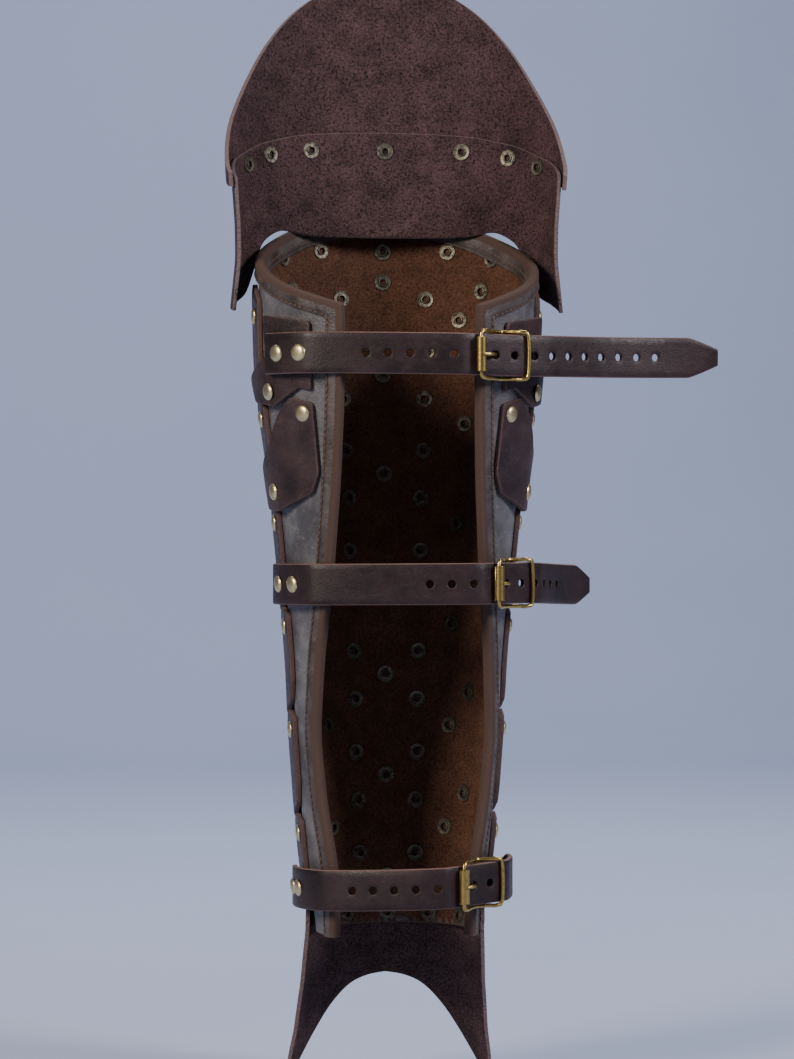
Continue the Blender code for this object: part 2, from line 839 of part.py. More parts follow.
class StrapLine:
    """A strap's middle line in the plan, measured from its buckle's roller."""

    def __init__(self, plan):
        """Lay the line round the left side, across the back and to its tip."""
        self.plan = plan
        half_width, half_depth, _ = shell_sizes(plan.level)
        reach = plan.stand_off + STRAP_WALL / 2
        turns = np.radians(np.linspace(plan.start_turn, plan.leave_turn, WRAP_STEPS))
        across, back = -(half_width + reach) * np.sin(turns), (half_depth + reach) * np.cos(turns)
        wrapped = list(np.stack([across, back], axis=1))
        leaving = wrapped[-1] - wrapped[-2]
        leaving /= np.linalg.norm(leaving)
        self.roller = np.array((plan.buckle_across, plan.buckle_back))
        self.along = heading_vector(plan.buckle_heading)
        approach = self.roller - self.along * ROLLER_APPROACH
        crossing = bezier(
            wrapped[-1],
            wrapped[-1] + leaving * STRAP_WIDTH / 2,
            approach - self.along * STRAP_WIDTH / 2,
            approach,
            CROSSING_STEPS,
        )
        points = wrapped + crossing
        for along in (BAR_ALONG - TONGUE_HOLE_ALONG, BAR_ALONG, BUCKLE_LENGTH + 2 * WIRE_RADIUS):
            points.append(self.roller + self.along * along)
        points += self.tail_points(points[-1])
        self.points = np.array(points)
        lengths = np.linalg.norm(np.diff(self.points, axis=0), axis=1)
        self.travel = np.concatenate([[0.0], np.cumsum(lengths)])
        self.roller_travel = self.travel[WRAP_STEPS + CROSSING_STEPS - 1] + ROLLER_APPROACH

    def tail_points(self, start):
        """Return the free tail's points, whose heading turns as it goes."""
        plan = self.plan
        headings = (plan.buckle_heading, plan.tail_heading, plan.tail_heading, plan.end_heading)
        found, here = [], start
        for number in range(TAIL_STEPS):
            share = (number + 0.5) / TAIL_STEPS
            heading = np.interp(share, TAIL_STOPS, headings)
            here = here + heading_vector(heading) * plan.tail_length / TAIL_STEPS
            found.append(here)
        return found

    def level(self, place):
        """Return the strap's middle height at a place in the plan."""
        return self.plan.level + self.plan.slope * place[0]

    def tail_level(self, travel, place):
        """Return the middle height at a travel, where the free tail rises or droops."""
        keeper = self.roller_travel + BUCKLE_LENGTH
        share = np.clip((travel - keeper) / (self.travel[-1] - keeper), 0.0, 1.0)
        return self.level(place) + self.plan.tail_rise * share

    def at(self, travel):
        """Return a plan point on the line and its direction there."""
        across = np.interp(travel, self.travel, self.points[:, 0])
        back = np.interp(travel, self.travel, self.points[:, 1])
        step = int(np.clip(np.searchsorted(self.travel, travel) - 1, 0, len(self.points) - 2))
        direction = self.points[step + 1] - self.points[step]
        return np.array((across, back)), direction / np.linalg.norm(direction)

    def local(self, along, out, up):
        """Return the world point of buckle coordinates."""
        outward = np.array((self.along[1], -self.along[0]))
        place = self.roller + self.along * along + outward * out
        return (place[0], place[1], self.level(place) + up)


def strap_body(line):
    """Return a strap's solid, with its blunt start and its narrowed tip."""
    tip_travel = line.travel[-1] - STRAP_TIP_LENGTH
    stops = [travel for travel in line.travel if abs(travel - tip_travel) > STRAP_WALL]
    stops = sorted(stops + [tip_travel])
    rings = []
    for travel in stops:
        place, _ = line.at(travel)
        _, before = line.at(max(travel - STRAP_WALL / 2, 0.0))
        _, after = line.at(min(travel + STRAP_WALL / 2, line.travel[-1]))
        direction = before + after
        direction /= np.linalg.norm(direction)
        outward = np.array((direction[1], -direction[0])) * STRAP_WALL / 2
        half = STRAP_WIDTH / 2
        if travel > tip_travel:
            share = (travel - tip_travel) / STRAP_TIP_LENGTH
            half += (STRAP_TIP_WIDTH / 2 - half) * share
        level = line.tail_level(travel, place)
        ring = []
        for side, edge in ((1, -1), (1, 1), (-1, 1), (-1, -1)):
            corner = place + outward * side
            ring.append((corner[0], corner[1], level + half * edge))
        rings.append(ring)
    return loft_body(rings)


def add_holes(line, strap):
    """Punch the strap's row of holes."""
    plan = line.plan
    cutter = bmesh.new()
    for number in range(-plan.holes_before, plan.holes_after):
        travel = line.roller_travel + TONGUE_HOLE_ALONG + HOLE_PITCH * number
        if abs(travel - line.roller_travel) < ROLLER_RADIUS:
            continue
        place, direction = line.at(travel)
        outward = np.array((direction[1], -direction[0]))
        level = line.tail_level(travel, place)
        ring_near, ring_far = [], []
        for side in range(HOLE_SIDES):
            angle = math.tau * side / HOLE_SIDES
            along = direction * HOLE_RADIUS * math.cos(angle)
            up = HOLE_RADIUS * math.sin(angle)
            near = place + along + outward * STRAP_WALL
            far = place + along - outward * STRAP_WALL
            ring_near.append(cutter.verts.new((near[0], near[1], level + up)))
            ring_far.append(cutter.verts.new((far[0], far[1], level + up)))
        for side in range(HOLE_SIDES):
            other = (side + 1) % HOLE_SIDES
            cutter.faces.new((ring_near[side], ring_near[other], ring_far[other], ring_far[side]))
        cutter.faces.new(list(reversed(ring_near)))
        cutter.faces.new(ring_far)
    guide = add_object(f"{plan.name}_hole_cutter", cutter, STRAP_LEATHER)
    cut_object(strap, guide)


def wire_rings(path, radius, sides, closed, up=(0.0, 0.0, 1.0)):
    """Return rings of a round wire along a path of points."""
    points = [np.array(point, float) for point in path]
    count = len(points)
    rings = []
    for number, point in enumerate(points):
        if closed:
            before, after = points[number - 1], points[(number + 1) % count]
        else:
            before, after = points[max(number - 1, 0)], points[min(number + 1, count - 1)]
        tangent = after - before
        tangent /= np.linalg.norm(tangent)
        side = np.cross(tangent, up)
        side /= np.linalg.norm(side)
        other = np.cross(side, tangent)
        ring = []
        for step in range(sides):
            angle = math.tau * (step + 0.5) / sides
            ring.append(point + side * radius * math.cos(angle) + other * radius * math.sin(angle))
        rings.append(ring)
    return rings


def build_frame(line):
    """Build the buckle's bent wire frame with its middle bar."""
    span = RAIL_HALF_SPAN
    bend = FRAME_BEND
    roller_out = STRAP_WALL / 2 + GAP + ROLLER_RADIUS
    keeper_out = STRAP_WALL / 2 + GAP + WIRE_RADIUS
    side = (
        (0.0, roller_out, span - bend),
        (bend, roller_out - bend / 3, span),
        (BAR_ALONG / 2, (roller_out - BAR_DEPTH) / 2, span),
        (BAR_ALONG, -BAR_DEPTH, span),
        ((BAR_ALONG + BUCKLE_LENGTH) / 2, (keeper_out - BAR_DEPTH) / 2, span),
        (BUCKLE_LENGTH - bend, keeper_out - bend / 3, span),
        (BUCKLE_LENGTH, keeper_out, span - bend),
    )
    loop = [(along, out, up) for along, out, up in side]
    loop += [(along, out, -up) for along, out, up in reversed(side)]
    path = [line.local(*point) for point in loop]
    outward = (line.along[1], -line.along[0], 0.0)
    rings = wire_rings(path, WIRE_RADIUS, WIRE_SIDES, True, outward)
    name = f"{line.plan.name}_buckle_frame"
    frame = add_object(name, loft_body(rings, closed=True), ANTIQUE_BRASS, 60.0)
    ends = [line.local(BAR_ALONG, -BAR_DEPTH, up) for up in (-span, span)]
    bar_rings = wire_rings(ends, BAR_RADIUS, WIRE_SIDES, False, outward)
    bar = add_object(f"{line.plan.name}_bar_guide", loft_body(bar_rings), ANTIQUE_BRASS, 60.0)
    cut_object(frame, bar, "UNION")


def build_roller(line):
    """Build the roller that turns on the frame's front bar."""
    out = STRAP_WALL / 2 + GAP + ROLLER_RADIUS
    reach = min(ROLLER_LENGTH / 2, RAIL_HALF_SPAN - 3 * WIRE_RADIUS)
    outward = (line.along[1], -line.along[0], 0.0)
    ends = [line.local(0.0, out, up) for up in (-reach, reach)]
    outside = wire_rings(ends, ROLLER_RADIUS, ROLLER_SIDES, False, outward)
    inside = wire_rings(ends, ROLLER_BORE, ROLLER_SIDES, False, outward)
    rings = [outside[0], outside[1], inside[1], inside[0]]
    add_object(f"{line.plan.name}_roller", loft_body(rings, closed=True), ANTIQUE_BRASS, 60.0)


def build_tongue(line):
    """Build the tongue, hooked round the bar and laid on the roller."""
    eye = TONGUE_EYE_RADIUS
    path = []
    for degrees in np.linspace(TONGUE_EYE_START, TONGUE_EYE_END, TONGUE_EYE_STEPS):
        angle = math.radians(degrees)
        path.append((BAR_ALONG + eye * math.cos(angle), -BAR_DEPTH + eye * math.sin(angle), 0.0))
    behind = -STRAP_WALL / 2 - GAP - TONGUE_RADIUS
    front = STRAP_WALL / 2 + GAP + TONGUE_RADIUS
    rest = STRAP_WALL / 2 + 3 * GAP + 2 * ROLLER_RADIUS + TONGUE_RADIUS
    hole = TONGUE_HOLE_ALONG
    path.append((hole + 2 * TONGUE_RADIUS, behind - GAP, 0.0))
    path.append((hole + TONGUE_RADIUS / 2, behind + TONGUE_RADIUS, 0.0))
    path.append((hole - TONGUE_RADIUS / 2, front, 0.0))
    path.append((2 * ROLLER_RADIUS, rest - ROLLER_RADIUS / 4, 0.0))
    path.append((-ROLLER_RADIUS / 4, rest, 0.0))
    points = [line.local(*point) for point in path]
    rings = wire_rings(points, TONGUE_RADIUS, WIRE_SIDES, False)
    add_object(f"{line.plan.name}_tongue", loft_body(rings), ANTIQUE_BRASS, 60.0)


def tab_line(line):
    """Return the tab's middle points in the plan and how far its layers part."""
    plan = line.plan
    bar = np.array(line.local(BAR_ALONG, -BAR_DEPTH, 0.0)[:2])
    lift = TAB_WALL + GAP + plan.tab_stand_off
    half_width, half_depth, _ = shell_sizes(plan.level)
    last_turn = plan.tab_turn - TAB_LANDING_TURN
    turns = np.radians(np.linspace(plan.tab_turn, last_turn, TAB_LANDING_STEPS))
    across, back = (half_width + lift) * np.sin(turns), (half_depth + lift) * np.cos(turns)
    landing = list(np.stack([across, back], axis=1))
    settling = landing[1] - landing[0]
    settling /= np.linalg.norm(settling)
    reach = np.linalg.norm(landing[0] - bar) / 3
    near_bar, near_leg = bar + line.along * reach, landing[0] - settling * reach
    curve = bezier(bar, near_bar, near_leg, landing[0], TAB_CURVE_STEPS)
    points = np.array([bar] + curve + landing[1:])
    parting = np.interp(range(len(points)), (0, TAB_CURVE_STEPS), (BAR_RADIUS + GAP, GAP / 2))
    return points, parting


def build_tab(line):
    """Build the leather folded round the buckle's bar, with its slot."""
    points, parting = tab_line(line)
    steps = np.gradient(points, axis=0)
    steps /= np.linalg.norm(steps, axis=1)[:, None]
    outward = np.stack([steps[:, 1], -steps[:, 0]], axis=1)
    near = outward * parting[:, None]
    far = outward * (parting + TAB_WALL)[:, None]
    fold_outer, fold_inner = [], []
    for step in range(1, TAB_FOLD_STEPS):
        angle = math.radians(90.0 + 180.0 * step / TAB_FOLD_STEPS)
        spoke = steps[0] * math.cos(angle) + outward[0] * math.sin(angle)
        fold_outer.append(points[0] + spoke * (parting[0] + TAB_WALL))
        fold_inner.append(points[0] + spoke * parting[0])
    outline = list(reversed(points + far)) + fold_outer + list(points - far)
    outline += list(reversed(points - near)) + list(reversed(fold_inner)) + list(points + near)
    rings = [
        [(place[0], place[1], line.level(place) + up) for place in outline]
        for up in (-TAB_HALF_WIDTH, TAB_HALF_WIDTH)
    ]
    tab = add_object(f"{line.plan.name}_buckle_tab", loft_body(rings), STRAP_LEATHER)
    reach = TONGUE_EYE_RADIUS + TONGUE_RADIUS + 2 * GAP
    slot = [
        (BAR_ALONG - 2 * reach, -BAR_DEPTH - 2 * reach),
        (BAR_ALONG + reach, -BAR_DEPTH - 2 * reach),
        (BAR_ALONG + reach, -BAR_DEPTH + 2 * reach),
        (BAR_ALONG - 2 * reach, -BAR_DEPTH + 2 * reach),
    ]
    rings = [
        [line.local(along, out, up) for along, out in slot]
        for up in (-TAB_SLOT_HALF_WIDTH, TAB_SLOT_HALF_WIDTH)
    ]
    cutter = add_object(f"{line.plan.name}_slot_cutter", loft_body(rings), STRAP_LEATHER)
    cut_object(tab, cutter)


def build_straps():
    """Build the three straps, each with its buckle and folded tab."""
    for plan in STRAPS:
        line = StrapLine(plan)
        strap = add_object(f"{plan.name}_strap", strap_body(line), STRAP_LEATHER)
        add_holes(line, strap)
        build_frame(line)
        build_roller(line)
        build_tongue(line)
        build_tab(line)


def main():
    """Build the whole greave."""
    clear_scene()
    build_shell()
    build_binding()
    build_knee()
    build_hanger()
    build_guard()
    build_crest_plates()
    build_side_plates()
    build_straps()


main()
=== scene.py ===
"""The finished look of a leather greave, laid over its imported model.

+Z runs up the leg, the shin faces +Y and the open back faces -Y, in metres.
Turns are degrees round the leg from the shin, positive towards +X. Sizes
repeat the model's own, so each piece takes its solid's place; comments say
where one is drawn otherwise.
"""

from __future__ import annotations

import logging
import math
from dataclasses import dataclass, field
from enum import Enum

import bmesh
import bpy
import numpy as np
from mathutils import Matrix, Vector


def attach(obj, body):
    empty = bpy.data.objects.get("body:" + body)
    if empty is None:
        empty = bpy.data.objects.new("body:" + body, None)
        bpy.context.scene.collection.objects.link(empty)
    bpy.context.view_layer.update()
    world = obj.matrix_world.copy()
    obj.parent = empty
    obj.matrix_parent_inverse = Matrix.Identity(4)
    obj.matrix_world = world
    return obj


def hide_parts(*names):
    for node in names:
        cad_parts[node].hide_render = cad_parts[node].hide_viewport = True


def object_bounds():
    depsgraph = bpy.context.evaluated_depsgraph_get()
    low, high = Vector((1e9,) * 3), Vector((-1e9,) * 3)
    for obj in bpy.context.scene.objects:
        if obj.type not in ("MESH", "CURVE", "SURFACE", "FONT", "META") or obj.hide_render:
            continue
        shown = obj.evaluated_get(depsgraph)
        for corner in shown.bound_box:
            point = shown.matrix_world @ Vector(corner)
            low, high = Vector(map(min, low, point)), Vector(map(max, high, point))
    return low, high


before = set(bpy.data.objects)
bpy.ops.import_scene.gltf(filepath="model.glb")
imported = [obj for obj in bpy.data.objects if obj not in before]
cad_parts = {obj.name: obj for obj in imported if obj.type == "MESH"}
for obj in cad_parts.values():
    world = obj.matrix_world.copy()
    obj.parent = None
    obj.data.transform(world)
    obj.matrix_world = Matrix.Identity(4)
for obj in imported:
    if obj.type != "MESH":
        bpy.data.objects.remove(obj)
cad_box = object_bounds()

Array = np.ndarray
Node = bpy.types.Node
Socket = bpy.types.NodeSocket
Material = bpy.types.Material
Table = tuple[tuple[float, ...], ...]

GAP = 0.0003
PAINT_REACH = 0.010
LENS_REACH = 2.0
log = logging.getLogger("greave")


class Side(Enum):
    """The two sides of the leg, as the sign of their turns."""

    LEFT = -1.0
    RIGHT = 1.0


class Face(Enum):
    """Which face of the leather a fastener lies on."""

    OUTSIDE = 1.0
    INSIDE = -1.0


def linear(code: str) -> tuple[float, float, float, float]:
    """Turn an sRGB hex colour into linear light.

    Args:
        code: six hex digits after a hash sign.

    Returns:
        The linear red, green and blue, with an alpha of one.
    """
    parts = np.array([int(code[i : i + 2], 16) for i in (1, 3, 5)]) / 255.0
    light = np.where(parts <= 0.04045, parts / 12.92, ((parts + 0.055) / 1.055) ** 2.4)
    return (float(light[0]), float(light[1]), float(light[2]), 1.0)


def per_mm(size: float) -> float:
    """Return the pattern scale that gives a feature this many millimetres."""
    return 1000.0 / size


def set_inputs(material: Material, node: Node, inputs: dict[str | int, object]) -> None:
    """Set or link a shader node's inputs, given by name or number."""
    for name, value in inputs.items():
        if isinstance(value, Socket):
            material.node_tree.links.new(value, node.inputs[name])
        else:
            node.inputs[name].default_value = value


def add_node(
    material: Material, kind: str, inputs: dict[str | int, object] | None = None, **settings: object
) -> Node:
    """Add one shader node with its settings and links.

    Args:
        material: the material that gets the node.
        kind: the node's type name.
        inputs: values or sockets by input name or number.
        settings: the node's own properties.

    Returns:
        The new node.
    """
    node = material.node_tree.nodes.new(kind)
    for name, value in settings.items():
        setattr(node, name, value)
    set_inputs(material, node, inputs or {})
    return node


def new_material(name: str, values: dict[str | int, object]) -> tuple[Material, Node]:
    """Start a material and set its shader's uniform values.

    Args:
        name: the material's name.
        values: shader inputs by name.

    Returns:
        The material and its shader node.
    """
    made = bpy.data.materials.new(name)
    made.use_nodes = True
    shader = made.node_tree.nodes["Principled BSDF"]
    set_inputs(made, shader, values)
    return made, shader


@dataclass(frozen=True)
class Leather:
    """Vegetable-tanned cowhide, dyed and waxed on its grain side.

    The grain side is a soft cloudy colour with pale scuffs and a fine pebble;
    the flesh side is a matt nap of short fibres with dark pits; a cut edge
    shows the paler, undyed middle of the hide. Pattern sizes and depths are
    in millimetres.
    """

    name: str
    deep: str
    worn: str
    scuff: str
    raw: str
    flesh_deep: str
    flesh_pale: str
    roughness: float = 0.5
    scuffing: float = 0.5
    raw_width: float = 1.2
    cloud: float = 26.0
    # Real grain is about 0.7 mm, drawn at 1.0 to 1.6 mm so that it shows
    grain: float = 1.6
    # Real nap is under 0.5 mm, drawn at 1.2 to 1.7 mm so that it shows
    nap: float = 1.7
    # Depths of the creases, and of the grain's and the nap's relief
    crease: float = 0.4
    pile: float = 1.2
    # How fully a pit takes the deep colour of the flesh
    pitting: float = 0.9

    def material(self) -> Material:
        """Build the leather's node material.

        Returns:
            A material that reads the paint attributes rim and flesh.
        """
        made, shader = new_material(self.name, {"Specular IOR Level": 0.27})
        where = add_node(made, "ShaderNodeTexCoord").outputs["Object"]
        rim = add_node(made, "ShaderNodeAttribute", attribute_name="rim").outputs["Fac"]
        flesh = add_node(made, "ShaderNodeAttribute", attribute_name="flesh").outputs["Fac"]

        # The dye lies in soft clouds, rubbed pale in scuffs and strokes
        clouds = add_node(
            made,
            "ShaderNodeTexNoise",
            {"Vector": where, "Scale": per_mm(self.cloud), "Detail": 7.0, "Roughness": 0.62},
        ).outputs["Fac"]
        cloud_share = add_node(
            made, "ShaderNodeMapRange", {"Value": clouds, "From Min": 0.36, "From Max": 0.66}
        ).outputs["Result"]
        dye = add_node(
            made,
            "ShaderNodeMix",
            {0: cloud_share, 6: linear(self.deep), 7: linear(self.worn)},
            data_type="RGBA",
        ).outputs[2]
        stretched = add_node(
            made,
            "ShaderNodeMapping",
            {"Vector": where, "Rotation": (0.6, 0.9, 0.4), "Scale": (1.0, 1.0, 1.9)},
        ).outputs["Vector"]
        strokes = add_node(
            made,
            "ShaderNodeTexNoise",
            {
                "Vector": stretched,
                "Scale": per_mm(7.0),
                "Detail": 9.0,
                "Roughness": 0.72,
                "Distortion": 1.2,
            },
        ).outputs["Fac"]
        scuffs = add_node(
            made,
            "ShaderNodeMapRange",
            {"Value": strokes, "From Min": 0.55, "From Max": 0.78, "To Max": self.scuffing},
        ).outputs["Result"]
        scuffed = add_node(
            made, "ShaderNodeMix", {0: scuffs, 6: dye, 7: linear(self.scuff)}, data_type="RGBA"
        ).outputs[2]

        # The flesh side is a nap of fibres with dark pits between them
        fibres = add_node(
            made,
            "ShaderNodeTexNoise",
            {"Vector": where, "Scale": per_mm(self.nap), "Detail": 4.0, "Roughness": 0.7},
        ).outputs["Fac"]
        brushed = add_node(
            made,
            "ShaderNodeTexNoise",
            {"Vector": where, "Scale": per_mm(14.0), "Detail": 5.0, "Roughness": 0.6},
        ).outputs["Fac"]
        napping = add_node(
            made, "ShaderNodeMath", {0: brushed, 1: 0.5, 2: fibres}, operation="MULTIPLY_ADD"
        ).outputs[0]
        nap_share = add_node(
            made, "ShaderNodeMapRange", {"Value": napping, "From Min": 0.52, "From Max": 0.98}
        ).outputs["Result"]
        fleshy = add_node(
            made,
            "ShaderNodeMix",
            {0: nap_share, 6: linear(self.flesh_deep), 7: linear(self.flesh_pale)},
            data_type="RGBA",
        ).outputs[2]
        specks = add_node(
            made,
            "ShaderNodeTexNoise",
            {"Vector": where, "Scale": per_mm(self.nap * 1.1), "Detail": 1.0},
        ).outputs["Fac"]
        unpitted = add_node(
            made,
            "ShaderNodeMapRange",
            {"Value": specks, "From Min": 0.33, "From Max": 0.43, "To Min": 1.0 - self.pitting},
        ).outputs["Result"]
        pitted = add_node(
            made,
            "ShaderNodeMix",
            {0: unpitted, 6: linear(self.flesh_deep), 7: fleshy},
            data_type="RGBA",
        ).outputs[2]
        nap_height = add_node(
            made, "ShaderNodeMath", {0: unpitted, 1: 0.5, 2: fibres}, operation="MULTIPLY_ADD"
        ).outputs[0]
        sided = add_node(
            made, "ShaderNodeMix", {0: flesh, 6: scuffed, 7: pitted}, data_type="RGBA"
        ).outputs[2]

        # The cut edge is paler, and frays inwards by the fibres
        ragged = add_node(
            made,
            "ShaderNodeMath",
            {0: fibres, 1: 0.10 * self.raw_width, 2: rim},
            operation="MULTIPLY_ADD",
        ).outputs[0]
        edge_low = 1.0 - 0.05 * self.raw_width
        cut = add_node(
            made,
            "ShaderNodeMapRange",
            {"Value": ragged, "From Min": edge_low, "From Max": edge_low + 0.06},
        ).outputs["Result"]
        whole = add_node(
            made, "ShaderNodeMix", {0: cut, 6: sided, 7: linear(self.raw)}, data_type="RGBA"
        ).outputs[2]

        # Scuffs and the flesh side are duller than the waxed grain
        waxed = add_node(
            made,
            "ShaderNodeMapRange",
            {
                "Value": strokes,
                "From Min": 0.35,
                "From Max": 0.7,
                "To Min": self.roughness - 0.08,
                "To Max": self.roughness + 0.16,
            },
        ).outputs["Result"]
        bare = add_node(made, "ShaderNodeMath", {0: flesh, 1: cut}, operation="MAXIMUM").outputs[0]
        rough = add_node(made, "ShaderNodeMix", {0: bare, 2: waxed, 3: 0.92}).outputs[0]

        # Creases first, then the pebble of the grain or the nap of the flesh
        pebble = add_node(
            made,
            "ShaderNodeTexVoronoi",
            {"Vector": where, "Scale": per_mm(self.grain), "Smoothness": 0.6},
            feature="SMOOTH_F1",
        ).outputs["Distance"]
        relief = add_node(made, "ShaderNodeMix", {0: flesh, 2: pebble, 3: nap_height}).outputs[0]
        creases = add_node(
            made,
            "ShaderNodeBump",
            {"Height": strokes, "Strength": 0.5, "Distance": self.crease * 0.001},
        ).outputs["Normal"]
        grained = add_node(
            made,
            "ShaderNodeBump",
            {"Height": relief, "Normal": creases, "Strength": 0.6, "Distance": self.pile * 0.001},
        ).outputs["Normal"]
        set_inputs(made, shader, {"Base Color": whole, "Roughness": rough, "Normal": grained})
        return made


@dataclass(frozen=True)
class Metal:
    """Brass or nickel plate, aged by handling to a mottled patina.

    The high places are bright and smooth, the low ones brown and duller. The
    paint attribute rim is one in a rivet's open mouth, which is painted nearly
    black as the shade down the hole.
    """

    name: str
    bright: str
    patina: str
    roughness: float
    mottle: float = 3.0
    patina_share: float = 0.5

    def material(self) -> Material:
        """Build the metal's node material.

        Returns:
            A material on Object coordinates.
        """
        made, shader = new_material(self.name, {"Metallic": 1.0})
        where = add_node(made, "ShaderNodeTexCoord").outputs["Object"]
        spots = add_node(
            made,
            "ShaderNodeTexNoise",
            {"Vector": where, "Scale": per_mm(self.mottle), "Detail": 8.0, "Roughness": 0.7},
        ).outputs["Fac"]
        aged = add_node(
            made,
            "ShaderNodeMapRange",
            {"Value": spots, "From Min": self.patina_share, "From Max": self.patina_share + 0.22},
        ).outputs["Result"]
        colour = add_node(
            made,
            "ShaderNodeMix",
            {0: aged, 6: linear(self.bright), 7: linear(self.patina)},
            data_type="RGBA",
        ).outputs[2]
        mouth = add_node(made, "ShaderNodeAttribute", attribute_name="rim").outputs["Fac"]
        # A rivet's open mouth is painted nearly black: painted shade down the hole
        shaded_mouth_colour = add_node(
            made, "ShaderNodeMix", {0: mouth, 6: colour, 7: linear("#0c0a08")}, data_type="RGBA"
        ).outputs[2]
        rough = add_node(
            made,
            "ShaderNodeMapRange",
            {"Value": aged, "To Min": self.roughness, "To Max": self.roughness + 0.25},
        ).outputs["Result"]
        dents = add_node(
            made, "ShaderNodeBump", {"Height": spots, "Strength": 0.35, "Distance": 0.0003}
        ).outputs["Normal"]
        set_inputs(made, shader, {"Base Color": shaded_mouth_colour, "Roughness": rough, "Normal": dents})
        return made


@dataclass(frozen=True)
class Thread:
    """Waxed linen thread, laid in twisted plies that show as fine slants."""

    name: str
    colour: str
    shade: str

    def material(self) -> Material:
        """Build the thread's node material.

        Returns:
            A material on Object coordinates.
        """
        made, shader = new_material(self.name, {"Roughness": 0.7})
        where = add_node(made, "ShaderNodeTexCoord").outputs["Object"]
        plies = add_node(
            made, "ShaderNodeTexNoise", {"Vector": where, "Scale": per_mm(1.1), "Detail": 3.0}
        ).outputs["Fac"]
        colour = add_node(
            made,
            "ShaderNodeMix",
            {0: plies, 6: linear(self.shade), 7: linear(self.colour)},
            data_type="RGBA",
        ).outputs[2]
        twist = add_node(
            made, "ShaderNodeBump", {"Height": plies, "Strength": 0.5, "Distance": 0.0002}
        ).outputs["Normal"]
        set_inputs(made, shader, {"Base Color": colour, "Normal": twist})
        return made


@dataclass(frozen=True)
class Finishes:
    """The greave's materials, each made once."""

    shell: Material
    plate: Material
    knee: Material
    binding: Material
    strap: Material
    buckle: Material
    cap: Material
    washer: Material
    thread: Material

    @classmethod
    def made(cls) -> Finishes:
        """Make every material from its leather, metal or thread."""
        return cls(
            shell=Leather(
                "waxed_cowhide_shell", deep="#403e41", worn="#676568", scuff="#989292",
                raw="#4b3b34", flesh_deep="#2c1911", flesh_pale="#60402f", roughness=0.44,
                scuffing=0.5, grain=1.1, nap=1.3, pile=0.5, pitting=0.7,
            ).material(),
            plate=Leather(
                "dyed_cowhide_plates", deep="#1f1517", worn="#3a2a2c", scuff="#6a5654",
                raw="#66504d", flesh_deep="#2a1a12", flesh_pale="#5f402e", roughness=0.44,
                scuffing=0.3, raw_width=0.45, grain=1.1, pile=0.3,
            ).material(),
            knee=Leather(
                "split_cowhide_knee", deep="#1f1517", worn="#3a2a2c", scuff="#6a5654",
                raw="#6b5a5a", flesh_deep="#120809", flesh_pale="#574042", roughness=0.5,
                scuffing=0.35, raw_width=0.45, nap=1.25, pile=1.7, pitting=0.8,
            ).material(),
            # Its raw colour, drawn broad, also paints the fold: partly real wear, partly a painted
            # highlight
            binding=Leather(
                "folded_calf_binding", deep="#332c2b", worn="#524a49", scuff="#81746f",
                raw="#45352f", flesh_deep="#2a1a12", flesh_pale="#5f402e", roughness=0.42,
                scuffing=0.5, raw_width=2.4, cloud=14.0, grain=1.1, pile=0.3,
            ).material(),
            strap=Leather(
                "bridle_leather_straps", deep="#1a1012", worn="#2e1f22", scuff="#584444",
                raw="#7d605a", flesh_deep="#2a1a12", flesh_pale="#5f402e", roughness=0.44,
                scuffing=0.2, raw_width=0.4, grain=1.0, crease=0.1, pile=0.12,
            ).material(),
            buckle=Metal("antique_brass_buckles", "#b39a5c", "#5a4626", 0.28).material(),
            cap=Metal("antique_brass_rivet_caps", "#d2c195", "#74633c", 0.34, 2.2, 0.52).material(),
            washer=Metal("aged_nickel_washers", "#6b665b", "#1d1915", 0.52, 2.0, 0.46).material(),
            thread=Thread("waxed_linen_thread", "#69503f", "#241814").material(),
        )


def unit(vectors: Array) -> Array:
    """Scale vectors to a length of one."""
    return vectors / np.maximum(np.linalg.norm(vectors, axis=-1, keepdims=True), 1e-12)


def joined(*coordinates: Array | float) -> Array:
    """Return points whose coordinates are these arrays, spread to one size."""
    return np.stack(np.broadcast_arrays(*coordinates), axis=-1)


def square_axes(right: Array, up: Array) -> Array:
    """Return right, up and out directions, square to each other."""
    out = unit(np.cross(up, right))
    return np.stack([right, np.cross(right, out), out], axis=-2)


def length_along(line: Array) -> Array:
    """Return how far along a line each of its points lies."""
    return np.concatenate([[0.0], np.cumsum(np.linalg.norm(np.diff(line, axis=0), axis=1))])


def read_line(stops: Array, travel: Array, line: Array) -> Array:
    """Return a line's places, or other columns, at distances along it."""
    return joined(*(np.interp(stops, travel, column) for column in line.T))


def placed(name: str, data: bpy.types.ID) -> bpy.types.Object:
    """Make an object of its data and put it in the scene."""
    made = bpy.data.objects.new(name, data)
    bpy.context.scene.collection.objects.link(made)
    return made


def eased(places: Array, stops: Array, values: Array, reach: float) -> Array:
    """Read a table of straight runs with its corners rounded.

    Each result is the mean of the straight-line table at nine places spread
    over the reach on both sides.

    Args:
        places: where to read.
        stops: the table's places.
        values: the table's values.
        reach: how far on each side the mean is taken.

    Returns:
        The rounded values, shaped as the places.
    """
    offsets = np.linspace(-reach, reach, 9)
    reads = [np.interp(np.asarray(places) + offset, stops, values) for offset in offsets]
    return np.mean(reads, axis=0)


def grid_quads(rows: int, columns: int, wrap_rows: bool, wrap_columns: bool) -> Array:
    """Number the four corners of each cell of a grid.

    Args:
        rows: how many rows of points.
        columns: how many points in a row.
        wrap_rows: whether the last row joins the first.
        wrap_columns: whether the last column joins the first.

    Returns:
        An array of cells by four point numbers.
    """
    i = np.arange(rows if wrap_rows else rows - 1)[:, None]
    j = np.arange(columns if wrap_columns else columns - 1)[None, :]
    below, after = (i + 1) % rows, (j + 1) % columns
    i, below = i * columns, below * columns
    return joined(i + j, i + after, below + after, below + j).reshape(-1, 4)


